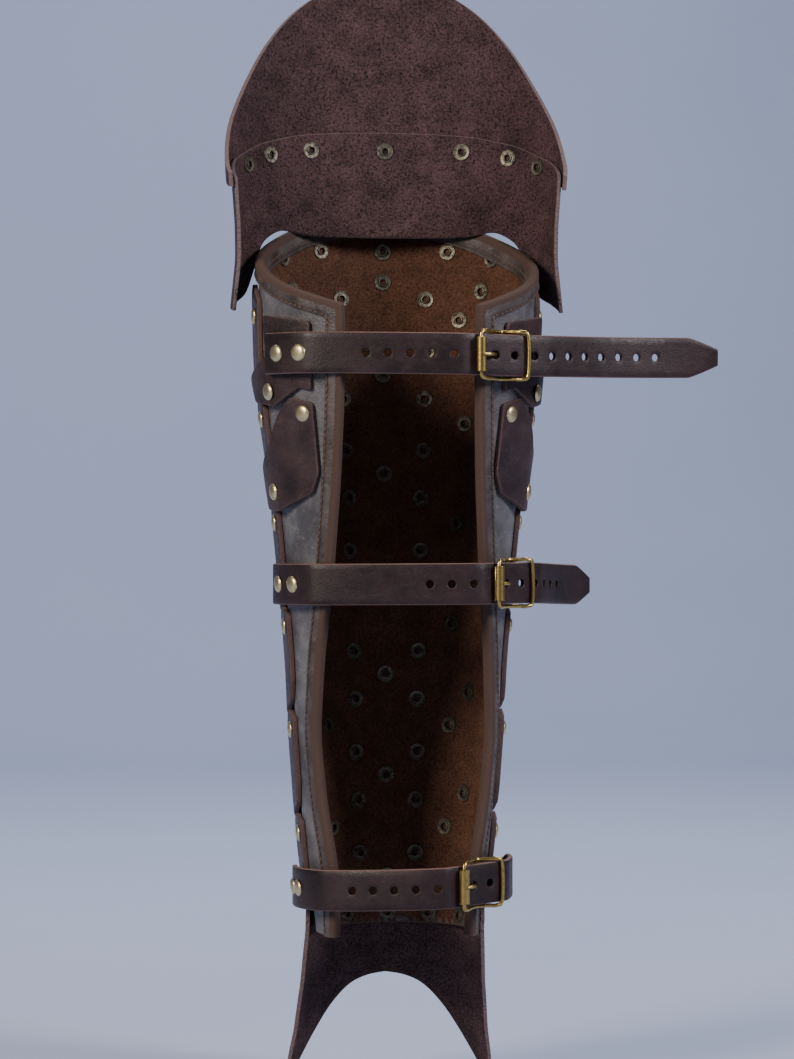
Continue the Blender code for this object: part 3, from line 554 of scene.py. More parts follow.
def border_distance(grid: Array) -> Array:
    """Measure how far each point of a sheet lies from its nearest border.

    The distance is walked along the grid's own lines, row and column.

    Args:
        grid: rows by columns by three coordinates.

    Returns:
        Rows by columns of metres.
    """
    nearest = []
    for axis in (0, 1):
        steps = np.linalg.norm(np.diff(grid, axis=axis), axis=-1)
        walked = np.cumsum(steps, axis=axis)
        start = np.zeros_like(np.take(walked, [0], axis=axis))
        walked = np.concatenate([start, walked], axis=axis)
        total = np.take(walked, [-1], axis=axis)
        nearest.append(np.minimum(walked, total - walked))
    return np.minimum(nearest[0], nearest[1])


class Shape:
    """A mesh being made from grids of points, painted with two attributes.

    The attribute rim is one at a cut edge and falls to zero a paint reach
    away from it; flesh is one on the fibrous side of the leather.
    """

    def __init__(self) -> None:
        """Start with no points."""
        self.points: list[Array] = []
        self.quads: list[Array] = []
        self.rims: list[Array] = []
        self.fleshes: list[Array] = []
        self.count = 0

    def add(
        self,
        grid: Array,
        wrap_rows: bool = False,
        wrap_columns: bool = False,
        distance: Array | float = 1.0,
        flesh: Array | float = 0.0,
    ) -> None:
        """Add a grid of points as a skin.

        Args:
            grid: rows by columns by three coordinates.
            wrap_rows: whether the last row joins the first.
            wrap_columns: whether the last column joins the first.
            distance: metres from the nearest cut edge.
            flesh: one on the fibrous side.
        """
        rows, columns = grid.shape[:2]
        rim = 1.0 - np.clip(np.broadcast_to(distance, (rows, columns)) / PAINT_REACH, 0.0, 1.0)
        self.points.append(grid.reshape(-1, 3))
        self.quads.append(grid_quads(rows, columns, wrap_rows, wrap_columns) + self.count)
        self.rims.append(rim.reshape(-1))
        self.fleshes.append(np.broadcast_to(flesh, (rows, columns)).reshape(-1))
        self.count += rows * columns

    def add_copies(
        self, template: Array, places: Array, frames: Array, rims: Array | float = 0.0
    ) -> None:
        """Add one closed turned shape at many places.

        A copy's point is its place plus the template's three coordinates
        along the place's own right, up and out directions.

        Args:
            template: rows by columns by three, wrapped round its columns.
            places: where each copy stands.
            frames: each copy's right, up and out directions.
            rims: the rim value of each of the template's rows.
        """
        copies = np.einsum("rcx,nxk->nrck", template, frames) + places[:, None, None, :]
        rows, columns = template.shape[:2]
        quads = grid_quads(rows, columns, False, True)
        starts = self.count + np.arange(len(places)) * rows * columns
        self.points.append(copies.reshape(-1, 3))
        self.quads.append((quads[None] + starts[:, None, None]).reshape(-1, 4))
        painted = np.broadcast_to(np.reshape(rims, (-1, 1)), (rows, columns))
        self.rims.append(np.tile(painted.reshape(-1), len(places)))
        self.fleshes.append(np.zeros(len(places) * rows * columns))
        self.count += len(places) * rows * columns

    def add_wall(self, outer: Array, inner: Array) -> None:
        """Add a closed sheet of leather between two equal grids.

        Args:
            outer: the grain side's grid.
            inner: the flesh side's grid.
        """
        distance = border_distance(outer)
        self.add(outer, distance=distance)
        self.add(inner[:, ::-1], distance=distance[:, ::-1], flesh=1.0)
        for near, far in (
            (outer[0], inner[0]),
            (outer[-1], inner[-1]),
            (outer[:, 0], inner[:, 0]),
            (outer[:, -1], inner[:, -1]),
        ):
            self.add(np.stack([near, far]), distance=0.0)

    def add_end(self, ring: Array, distance: float = 1.0) -> None:
        """Close the end of a tube, given as one row of points, to its middle."""
        middle = np.repeat(ring.mean(axis=1, keepdims=True), ring.shape[1], axis=1)
        self.add(np.concatenate([ring, middle]), wrap_columns=True, distance=distance)

    def finish(
        self,
        name: str,
        material: Material,
        slot: str,
        nodes: tuple[str, ...] = (),
        bevel: float = 0.0,
        sharp: float = 40.0,
    ) -> None:
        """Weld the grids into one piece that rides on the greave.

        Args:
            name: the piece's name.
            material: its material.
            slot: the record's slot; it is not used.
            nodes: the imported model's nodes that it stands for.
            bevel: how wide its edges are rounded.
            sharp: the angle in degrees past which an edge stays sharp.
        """
        quads = np.concatenate(self.quads)
        points = np.concatenate(self.points)
        mesh = bpy.data.meshes.new(name)
        mesh.vertices.add(len(points))
        mesh.vertices.foreach_set("co", points.ravel())
        mesh.loops.add(quads.size)
        mesh.loops.foreach_set("vertex_index", quads.ravel())
        mesh.polygons.add(len(quads))
        mesh.polygons.foreach_set("loop_start", np.arange(0, quads.size, 4))
        for label, values in (("rim", self.rims), ("flesh", self.fleshes)):
            layer = mesh.attributes.new(label, "FLOAT", "POINT")
            layer.data.foreach_set("value", np.concatenate(values))
        mesh.update(calc_edges=True)
        body = bmesh.new()
        body.from_mesh(mesh)
        bmesh.ops.remove_doubles(body, verts=body.verts, dist=1e-6)
        bmesh.ops.recalc_face_normals(body, faces=body.faces)
        body.to_mesh(mesh)
        body.free()
        mesh.shade_smooth()
        mesh.set_sharp_from_angle(angle=math.radians(sharp))
        mesh.materials.append(material)
        made = placed(name, mesh)
        if bevel:
            rounding = made.modifiers.new("rounded_edges", "BEVEL")
            rounding.width = bevel
            rounding.segments = 2
            rounding.limit_method = "ANGLE"
            rounding.angle_limit = math.radians(50.0)
        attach(made, "root")
        if nodes:
            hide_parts(*nodes)
        log.info("%s: %d faces", name, len(mesh.polygons))


def turned(profile: Array, sides: int) -> Array:
    """Spin a profile of (radius, height) about its own up-axis.

    Args:
        profile: rows of radius and height.
        sides: how many columns round.

    Returns:
        Rows by sides by three coordinates, with the height along the third.
    """
    angle = np.linspace(0.0, math.tau, sides, endpoint=False)
    radius, height = profile[:, :1], profile[:, 1:]
    return joined(radius * np.cos(angle), radius * np.sin(angle), height)


def smooth_path(points: Array, steps: int, closed: bool) -> Array:
    """Draw a smooth curve through points.

    Between two points the curve is the cubic whose slopes are half the step
    between their neighbours, on each side.

    Args:
        points: the points to pass through.
        steps: how many places between two points.
        closed: whether the curve comes back to its start.

    Returns:
        The curve's places.
    """
    if closed:
        padded = np.concatenate([points[-1:], points, points[:2]])
    else:
        padded = np.concatenate([points[:1], points, points[-1:]])
    before, here, there, after = padded[:-3], padded[1:-2], padded[2:-1], padded[3:]
    t = np.linspace(0.0, 1.0, steps, endpoint=False)[:, None, None]
    curve = 0.5 * (
        2.0 * here
        + (there - before) * t
        + (2.0 * before - 5.0 * here + 4.0 * there - after) * t**2
        + (3.0 * here - before - 3.0 * there + after) * t**3
    )
    flat = curve.transpose(1, 0, 2).reshape(-1, points.shape[1])
    return flat if closed else np.concatenate([flat, points[-1:]])


def tube(path: Array, radius: Array | float, sides: int, closed: bool, hint: Array) -> Array:
    """Carry a circle along a path.

    Args:
        path: the wire's middle line.
        radius: the wire's radius, one or one a place.
        sides: how many columns round the wire.
        closed: whether the path comes back to its start.
        hint: a direction that the path never follows.

    Returns:
        Places by sides by three coordinates; an open wire ends in points.
    """
    if closed:
        tangent = unit(np.roll(path, -1, axis=0) - np.roll(path, 1, axis=0))
    else:
        tangent = unit(np.gradient(path, axis=0))
    side = unit(np.cross(tangent, hint))
    other = np.cross(side, tangent)
    angle = np.linspace(0.0, math.tau, sides, endpoint=False)
    reach = np.broadcast_to(radius, (len(path),))[:, None, None]
    across, along = np.cos(angle)[None, :, None], np.sin(angle)[None, :, None]
    skin = path[:, None] + (side[:, None] * across + other[:, None] * along) * reach
    if closed:
        return skin
    caps = [np.repeat(path[None, :1], sides, axis=1), np.repeat(path[None, -1:], sides, axis=1)]
    return np.concatenate([caps[0], skin, caps[1]])


@dataclass(frozen=True)
class LegForm:
    """The oval form of the leg's shell, which every other piece follows."""

    drop: float = 0.338
    half_width: float = 0.083
    half_depth: float = 0.076
    half_opening: float = 0.052
    wall: float = 0.002
    rim_height: float = 0.092
    ease_drop: float = 0.035
    ease_turn: float = 6.0
    # Columns: drop, width, depth and opening, as shares of the sizes above
    rows: Table = (
        (-0.30, 1.000, 1.000, 0.779), (0.00, 0.976, 0.961, 0.779), (0.07, 0.952, 0.947, 0.779),
        (0.21, 0.867, 0.895, 0.808), (0.39, 0.795, 0.842, 0.881), (0.52, 0.747, 0.803, 0.962),
        (0.65, 0.723, 0.776, 1.000), (0.77, 0.687, 0.737, 0.923), (0.88, 0.645, 0.697, 0.796),
        (1.00, 0.572, 0.658, 0.769),
    )
    # Columns: turn from the shin and share of the rim's height
    rim: Table = (
        (0.0, 1.00), (20.0, 0.98), (33.0, 0.93), (50.0, 0.83), (70.0, 0.72), (90.0, 0.61),
        (120.0, 0.44), (151.0, 0.30),
    )

    def sizes(self, level: Array) -> tuple[Array, Array, Array]:
        """Return the half width, half depth and half opening at levels."""
        drop, *columns = np.array(self.rows).T
        width, depth, opening = (
            eased(-np.asarray(level, float) / self.drop, drop, column, self.ease_drop)
            for column in columns
        )
        return self.half_width * width, self.half_depth * depth, self.half_opening * opening

    def point(self, turn: Array, level: Array, out: Array | float = 0.0) -> Array:
        """Place points on or off the shell.

        The plan at a level is an ellipse: half width times the sine of the
        turn, and half depth times its cosine, both grown by the stand-off.

        Args:
            turn: degrees from the shin.
            level: height.
            out: metres out from the shell's outer face.

        Returns:
            The points, with three coordinates last.
        """
        turn, level, out = np.broadcast_arrays(
            np.asarray(turn, float), np.asarray(level, float), np.asarray(out, float)
        )
        width, depth, _ = self.sizes(level)
        angle = np.radians(turn)
        return joined((width + out) * np.sin(angle), (depth + out) * np.cos(angle), level)

    def frames(self, turn: Array, level: Array) -> Array:
        """Return each place's right, up and out directions on the shell."""
        right = unit(self.point(turn + 0.5, level) - self.point(turn - 0.5, level))
        up = self.point(turn, level + 0.001) - self.point(turn, level - 0.001)
        return square_axes(right, up)

    def edge_turn(self, level: Array) -> Array:
        """Return the turn at which the back opening begins at levels."""
        width, _, opening = self.sizes(level)
        return 180.0 - np.degrees(np.arcsin(opening / width))

    def rim_level(self, turn: Array) -> Array:
        """Return the rim's height at turns, its corners rounded."""
        table = np.array(self.rim)
        return self.rim_height * eased(np.abs(turn), table[:, 0], table[:, 1], self.ease_turn)


@dataclass
class Rivets:
    """Domed caps outside the leather and ring washers on the tails inside."""

    form: LegForm
    cap_radius: float = 0.0050
    cap_height: float = 0.0019
    washer_radius: float = 0.0052
    washer_height: float = 0.0011
    sides: int = 24
    caps: Shape = field(default_factory=Shape)
    washers: Shape = field(default_factory=Shape)

    def cap_template(self) -> Array:
        """Return a low dome with a rolled edge, closed underneath."""
        shares = ((0.0, 1.0), (0.35, 0.96), (0.62, 0.84), (0.84, 0.60), (0.96, 0.30))
        lower = ((1.0, 0.08), (0.97, -0.05), (0.0, -0.10))
        rows = np.array(shares + lower)
        return turned(rows * (self.cap_radius, self.cap_height), self.sides)

    def washer_template(self) -> Array:
        """Return a dished ring with the rivet's rolled tube mouth in it."""
        mouth = ((0.0, -1.1), (0.30, -1.1), (0.33, 0.8), (0.39, 1.3), (0.48, 1.2), (0.55, 0.5))
        ring = ((0.66, 0.40), (0.82, 0.62), (0.95, 0.70), (1.0, 0.35), (1.0, -0.1), (0.0, -1.3))
        rows = np.array(mouth + ring)
        return turned(rows * (self.washer_radius, self.washer_height), self.sides)

    def add_cap(self, places: Array, frames: Array) -> None:
        """Add caps at places whose out directions are given."""
        self.caps.add_copies(self.cap_template(), places, frames)

    def add_washer(self, places: Array, frames: Array) -> None:
        """Add washers at places, facing against their out directions."""
        facing = frames * np.array([1.0, 1.0, -1.0])[:, None]
        # Rim is one on the mouth's floor and bore, which the metal paints nearly black as painted
        # shade
        mouth = np.array([1.0, 1.0, 0.8] + [0.0] * 9)
        self.washers.add_copies(self.washer_template(), places, facing, mouth)

    def through_shell(self, turns: Array | float, levels: Array | float, out: float) -> None:
        """Rivet leather to the shell.

        Args:
            turns: degrees from the shin, one or several.
            levels: heights, one or several.
            out: how far the cap's seat stands off the shell.
        """
        turns, levels = np.broadcast_arrays(np.atleast_1d(turns), levels)
        frames = self.form.frames(turns, levels)
        self.add_cap(self.form.point(turns, levels, out), frames)
        self.add_washer(self.form.point(turns, levels, -self.form.wall), frames)

    def finish(self, finishes: Finishes) -> None:
        """Make the two sets of metal pieces."""
        self.caps.finish("rivet_caps", finishes.cap, "antique_brass")
        self.washers.finish("rivet_washers", finishes.washer, "antique_brass")


@dataclass
class Shell:
    """The leather shell round the leg, with its bound rim and back edges."""

    form: LegForm
    binding_width: float = 0.0085
    binding_wall: float = 0.0012
    binding_gap: float = 0.0010
    stitch_pitch: float = 0.0038
    stitch_row: float = 0.14
    inner_width: float = 0.0123
    corner: float = 0.0014
    # A stitch's thread, its half length as a share of the pitch, and how far
    # it lies in the binding
    thread_radius: float = 0.0005
    stitch_half: float = 0.40
    stitch_sink: float = 0.0002
    # Points round the leg and up it
    around: int = 129
    upwards: int = 97

    def grids(self, out: float) -> Array:
        """Return the shell's points at a stand-off.

        A point's turn is a share of the opening's turn at its level, and its
        level a share of the way from the hem to the rim at its turn.
        """
        across = np.linspace(-1.0, 1.0, self.around)[None, :]
        rise = np.linspace(0.0, 1.0, self.upwards)[:, None]
        hem = -self.form.drop
        level = hem + (self.form.rim_level(across * 150.0) - hem) * rise
        for _ in range(3):
            turn = across * self.form.edge_turn(level)
            level = hem + (self.form.rim_level(turn) - hem) * rise
        return self.form.point(turn, level, out)

    def build(self, finishes: Finishes) -> None:
        """Make the shell, its binding and the binding's stitches."""
        wall = Shape()
        wall.add_wall(self.grids(0.0), self.grids(-self.form.wall))
        wall.finish("leg_shell", finishes.shell, "base_leather", ("shell",), bevel=0.0005)
        self.build_binding(finishes)

    def half_stations(self, width: float) -> tuple[Array, Array]:
        """Follow the border from the shin along the rim and down the back.

        Args:
            width: how far the inner line lies from the border.

        Returns:
            The border's (turn, level) places, and those of the binding's
            inner line beside them.
        """
        form = self.form
        top = form.rim_level(np.array(151.0))
        for _ in range(3):
            last = form.edge_turn(top)
            top = form.rim_level(last)
        half_width, half_depth, _ = form.sizes(top)
        per_metre = np.degrees(2.0 / (half_width + half_depth))
        turns = np.linspace(0.0, last - self.corner * per_metre, 340)
        angle = np.linspace(0.0, math.pi / 2, 9)[1:-1]
        levels = np.linspace(top - self.corner, -form.drop, 420)
        round_turns = last - self.corner * per_metre * (1.0 - np.sin(angle))
        round_levels = top - self.corner * (1.0 - np.cos(angle))
        sides = form.edge_turn(levels)
        edge = np.concatenate(
            [
                joined(turns, form.rim_level(turns)),
                joined(round_turns, round_levels),
                joined(sides, levels),
            ]
        )
        inner_turn = last - width * per_metre
        inner_level = top - width
        side_width, side_depth, _ = form.sizes(levels)
        inner_sides = sides - np.degrees(2.0 * width / (side_width + side_depth))
        inset = np.concatenate(
            [
                joined(np.minimum(turns, inner_turn), form.rim_level(turns) - width),
                np.tile([inner_turn, inner_level], (len(angle), 1)),
                joined(inner_sides, np.minimum(levels, inner_level)),
            ]
        )
        return edge, inset

    def build_binding(self, finishes: Finishes) -> None:
        """Fold a strip over the border and sew it down.

        A section runs from the inner line to the border on the outside,
        round the fold in a half ellipse, and back on the inside; it is
        carried along the border. It dips along the row of stitches.
        """
        halves = (*self.half_stations(self.binding_width), self.half_stations(self.inner_width)[1])
        lines = [np.concatenate([half[::-1] * (-1.0, 1.0), half[1:]]) for half in halves]
        outer, inner, deep = (self.form.point(*line.T) for line in lines)
        away = unit(outer - inner)
        outer_face, inner_face = (self.form.frames(*line.T)[:, 2] for line in lines[:2])
        wall, near = self.form.wall, self.binding_gap
        far = near + self.binding_wall
        shares = np.array([0.0, 0.06, self.stitch_row, 0.26, 0.45, 0.65, 0.85, 1.0])
        # How far the thread pulls the strip down at each of those shares
        pull = np.array([0.20, 0.05, 0.60, 0.0, -0.05, -0.08, -0.05, 0.0]) * 0.001
        fold = np.radians(np.arange(20.0, 180.0, 20.0))
        ones = np.ones_like(fold)
        along = np.concatenate([shares, ones, shares[::-1], [0.0, 1.0, 1.0, 0.0]])
        flat = 0 * shares
        beyond = np.concatenate([flat, far * np.sin(fold), flat, [0.0, near, near, 0.0]])
        centre = wall / 2
        outwards = np.concatenate(
            [
                far - pull,
                -centre + (centre + far) * np.cos(fold),
                (-wall - far + pull)[::-1],
                [-wall - near, -wall - near, near, near],
            ]
        )
        # The fold's distance is zero, so it takes the raw colour: partly its real wear, partly a
        # painted highlight along the lit fold
        worn = np.concatenate([1.0 - shares, 0 * ones, 1.0 - shares[::-1], [1.0, 1.0, 1.0, 1.0]])
        within = np.arange(len(along))[None, :, None]
        inside = (within >= len(shares) + len(fold)) & (within < len(along) - 2)
        base = np.where(inside, deep[:, None], inner[:, None])
        spread = along[None, :, None]
        faces = unit(inner_face[:, None] * (1.0 - spread) + outer_face[:, None] * spread)
        section = (
            base
            + (outer[:, None] - base) * spread
            + away[:, None] * beyond[None, :, None]
            + faces * outwards[None, :, None]
        )
        strip = Shape()
        strip.add(section, wrap_columns=True, distance=worn[None, :] * self.binding_width)
        for end in (section[:1], section[-1:]):
            strip.add_end(end)
        strip.finish("border_binding", finishes.binding, "binding_leather", ("edge_binding",))
        self.build_stitches(inner + (outer - inner) * self.stitch_row, faces[:, 2], finishes)

    def build_stitches(self, seam: Array, outward: Array, finishes: Finishes) -> None:
        """Lay stitches along a seam, on both sides of the leather.

        Args:
            seam: places along the shell's outer face.
            outward: the direction out of the leather at each place.
            finishes: the materials.
        """
        sunk = self.binding_gap + self.binding_wall - self.stitch_sink
        travel = length_along(seam)
        stops = np.arange(self.stitch_pitch, travel[-1], self.stitch_pitch)
        places = read_line(stops, travel, seam)
        ahead = read_line(stops + 0.001, travel, seam)
        out = unit(read_line(stops, travel, outward))
        along = unit(ahead - places + 1e-9)
        frames = np.stack([along, np.cross(out, along), out], axis=-2)
        stitches = Shape()
        for face, depth in ((Face.OUTSIDE, sunk), (Face.INSIDE, -self.form.wall - sunk)):
            sided = frames * np.array([1.0, 1.0, face.value])[:, None]
            stitches.add_copies(self.stitch_template(), places + out * depth, sided)
        stitches.finish("binding_stitches", finishes.thread, "binding_leather")

    def stitch_template(self) -> Array:
        """Return one stitch: a short thread that dives at both ends."""
        along = np.array([-1.0, -0.98, -0.6, 0.0, 0.6, 0.98, 1.0])
        along = along * self.stitch_pitch * self.stitch_half
        radius = np.array([0.0, 0.7, 1.0, 1.05, 1.0, 0.7, 0.0]) * self.thread_radius
        rise = np.array([-0.5, -0.4, 0.25, 0.4, 0.25, -0.4, -0.5]) * self.thread_radius
        angle = np.linspace(0.0, math.tau, 6, endpoint=False)
        side = radius[:, None] * np.cos(angle)
        return joined(along[:, None], side, rise[:, None] + radius[:, None] * np.sin(angle))


@dataclass
class Panel:
    """A bent sheet of leather between a low and a high edge."""

    name: str
    half_width: float
    half_depth: float
    height: float
    turn: float
    wall: float
    # Columns: share of the turn, low edge and high edge as shares of height
    columns: Table
    # Columns: share of the height, shares of the half width and half depth
    rows: Table
    top: float = 0.0
    ease_turn: float = 0.02
    ease_level: float = 0.03
    # Points across the sheet and up it
    around: int = 241
    upwards: int = 41

    def row_shares(self, share: Array) -> list[Array]:
        """Return the shares of the half sizes at shares of height."""
        table = np.array(self.rows)
        return [eased(share, table[:, 0], table[:, k], self.ease_level) for k in (1, 2)]

    def sizes(self, share: Array) -> tuple[Array, Array]:
        """Return the outer half width and half depth at shares of height."""
        width, depth = self.row_shares(share)
        return self.half_width * width, self.half_depth * depth

    def point(self, across: Array, share: Array, out: Array | float) -> Array:
        """Place points by share of the turn and share of the height.

        The plan is an ellipse at each level, as the shell's is.
        """
        width, depth = self.sizes(share)
        angle = np.radians(self.turn * across)
        level = self.top + self.height * share
        return joined((width + out) * np.sin(angle), (depth + out) * np.cos(angle), level)

    def grid(self, out: float) -> Array:
        """Return the sheet's points at a stand-off from its outer face."""
        table = np.array(self.columns)
        table = np.clip(smooth_path(table, 6, False), table.min(axis=0), table.max(axis=0))
        across = np.linspace(-1.0, 1.0, self.around)[None, :]
        up = np.linspace(0.0, 1.0, self.upwards)[:, None]
        low = eased(np.abs(across), table[:, 0], table[:, 1], self.ease_turn)
        high = eased(np.abs(across), table[:, 0], table[:, 2], self.ease_turn)
        return self.point(across, low + (high - low) * up, out)

    def frames(self, across: Array, share: Array) -> Array:
        """Return each place's right, up and out directions on the sheet."""
        right = unit(self.point(across + 0.01, share, 0.0) - self.point(across - 0.01, share, 0.0))
        step = 0.01 * np.sign(self.height)
        up = self.point(across, share + step, 0.0) - self.point(across, share - step, 0.0)
        return square_axes(right, up)

    def build(self, piece: str, material: Material, slot: str) -> None:
        """Make the sheet with its flesh side inwards."""
        sheet = Shape()
        sheet.add_wall(self.grid(0.0), self.grid(-self.wall))
        sheet.finish(piece, material, slot, (self.name,), bevel=0.0007)


@dataclass
class KneePlate(Panel):
    """The knee plate, one wall outside the lame that it is riveted to."""

    lame: Panel | None = None
    spare: float = 0.0001

    def sizes(self, share: Array) -> tuple[Array, Array]:
        """Return the half sizes: the lame's, grown, times the plate's own."""
        lame_share = np.minimum(self.height * np.asarray(share) / self.lame.height, 1.0)
        lame_width, lame_depth = self.lame.sizes(lame_share)
        stand_off = 2 * GAP + self.lame.wall + self.spare
        width, depth = self.row_shares(share)
        return (lame_width + stand_off) * width, (lame_depth + stand_off) * depth


@dataclass
class KneeGuard:
    """The knee plate, the lame under it and the strip that hangs them."""

    form: LegForm
    # The rivets of lame and plate, as shares of the plate's turn
    rivet_turns: tuple[float, ...] = (-0.65, -0.49, -0.29, 0.0, 0.29, 0.50, 0.68)
    hanger_width: float = 0.026
    hanger_top: float = 0.140
    hanger_bottom: float = 0.060
    plate_wall: float = 0.003
    hanger_wall: float = 0.0025

    def lame(self) -> Panel:
        """Return the lame, whose wings reach down round the shell's sides."""
        return Panel(
            name="knee_lame", half_width=0.0995, half_depth=0.0610, height=0.142, turn=97.0,
            wall=0.0025,
            columns=(
                (0.00, 0.545, 1.000), (0.16, 0.545, 0.995), (0.32, 0.548, 0.980),
                (0.44, 0.565, 0.955), (0.54, 0.524, 0.930), (0.59, 0.475, 0.912),
                (0.64, 0.370, 0.895), (0.69, 0.285, 0.877), (0.80, 0.245, 0.843),
                (0.91, 0.215, 0.800), (1.00, 0.200, 0.750),
            ),
            rows=(
                (0.18, 1.000, 1.000), (0.42, 0.965, 1.000), (0.56, 0.968, 1.000),
                (0.78, 0.990, 1.020), (1.00, 1.000, 1.040),
            ),
        )

    def plate(self) -> KneePlate:
        """Return the pointed knee plate."""
        return KneePlate(
            name="knee_plate", half_width=1.0, half_depth=1.0, height=0.238, turn=98.0, wall=0.0025,
            lame=self.lame(),
            columns=(
                (0.00, 0.500, 1.000), (0.13, 0.499, 0.982), (0.25, 0.496, 0.945),
                (0.37, 0.490, 0.888), (0.49, 0.482, 0.805), (0.61, 0.472, 0.705),
                (0.74, 0.458, 0.603), (0.87, 0.442, 0.515), (1.00, 0.425, 0.460),
            ),
            rows=(
                (0.42, 1.000, 1.000), (0.60, 1.005, 1.020), (0.80, 0.985, 1.000),
                (1.00, 0.950, 0.950),
            ),
        )

    def build(self, finishes: Finishes, rivets: Rivets) -> None:
        """Make the guard's three sheets and the rivets between them."""
        lame, plate = self.lame(), self.plate()
        lame.build("lame_sheet", finishes.knee, "knee_leather")
        plate.build("knee_sheet", finishes.knee, "knee_leather")
        self.build_hanger(plate, finishes)
        turns = np.array(self.rivet_turns)
        shares = np.interp(np.abs(turns), (0.0, 0.36, 0.48, 0.64), (0.548, 0.545, 0.530, 0.497))
        seats = np.where(turns == 0.0, self.hanger_wall + 2 * GAP, 0.0)
        rivets.add_cap(plate.point(turns, shares, seats), plate.frames(turns, shares))
        turns, shares = turns * plate.turn / lame.turn, shares * plate.height / lame.height
        rivets.add_washer(lame.point(turns, shares, -lame.wall), lame.frames(turns, shares))
        rivets.through_shell(0.0, 0.070, self.plate_wall + 2 * GAP + self.hanger_wall)

    def build_hanger(self, plate: KneePlate, finishes: Finishes) -> None:
        """Hang the knee plate on the shell's front by a flat strip.

        The strip's stand-off follows a smooth curve through four heights and
        its plan bends with the plates behind it.

        Args:
            plate: the knee plate, which the strip's top lies on.
            finishes: the materials.
        """
        over_plate = self.plate_wall + 2 * GAP
        low = self.form.sizes(np.array(self.hanger_bottom))[1] + over_plate
        rim = self.form.sizes(np.array(self.form.rim_height))[1] + over_plate
        knee = plate.sizes(np.array(self.hanger_top / plate.height))[1] + 2 * GAP
        joint = 0.500 * plate.height - plate.wall
        knots = np.array(
            [
                (self.hanger_bottom, low),
                (self.form.rim_height + 0.0012, rim),
                (joint, knee),
                (self.hanger_top, knee),
            ]
        )
        level = np.linspace(self.hanger_bottom, self.hanger_top, 33)
        depth = eased(level, knots[:, 0], knots[:, 1], 0.0025)
        across = np.linspace(-1.0, 1.0, 13) * self.hanger_width / 2
        bend = np.cos(np.arcsin(across / self.form.half_width))
        sheets = [
            joined(across, (depth[:, None] + out) * bend, level[:, None])
            for out in (self.hanger_wall, 0.0)
        ]
        strip = Shape()
        strip.add_wall(*sheets)
        strip.finish(
            "hanger_strip", finishes.strap, "strap_leather", ("knee_hanger",), bevel=0.0006
        )


@dataclass
class FootGuard:
    """The guard that spreads over the foot in two points."""

    form: LegForm
    # Turns of the rivets, and their share of the guard's height
    rivet_turns: tuple[float, ...] = (-61.0, -34.0, 0.0, 32.0, 61.0)
    rivet_share: float = 0.09

    def build(self, finishes: Finishes, rivets: Rivets) -> None:
        """Make the guard with its raw hem and the rivets under the shell."""
        guard = Panel(
            name="foot_guard", half_width=0.0735, half_depth=0.0840, height=-0.110, turn=82.0,
            wall=0.0025, top=-0.322,
            columns=(
                (0.00, 0.0, 0.430), (0.15, 0.0, 0.450), (0.29, 0.0, 0.500), (0.43, 0.0, 0.610),
                (0.54, 0.0, 0.740), (0.64, 0.0, 0.900), (0.72, 0.0, 1.000), (0.80, 0.0, 0.700),
                (0.90, 0.0, 0.350), (1.00, 0.0, 0.080),
            ),
            rows=(
                (0.00, 0.735, 0.640), (0.14, 0.740, 0.650), (0.44, 0.800, 0.745),
                (0.71, 0.880, 0.860), (0.86, 0.945, 0.930), (1.00, 1.000, 1.000),
            ),
        )
        guard.build("foot_sheet", finishes.knee, "knee_leather")
        turns = np.array(self.rivet_turns)
        shares = np.full(len(turns), self.rivet_share)
        frames = guard.frames(turns / guard.turn, shares)
        rivets.add_cap(guard.point(turns / guard.turn, shares, 0.0), frames)
        levels = guard.top + guard.height * shares
        rivets.add_washer(
            self.form.point(turns, levels, -self.form.wall), self.form.frames(turns, levels)
        )


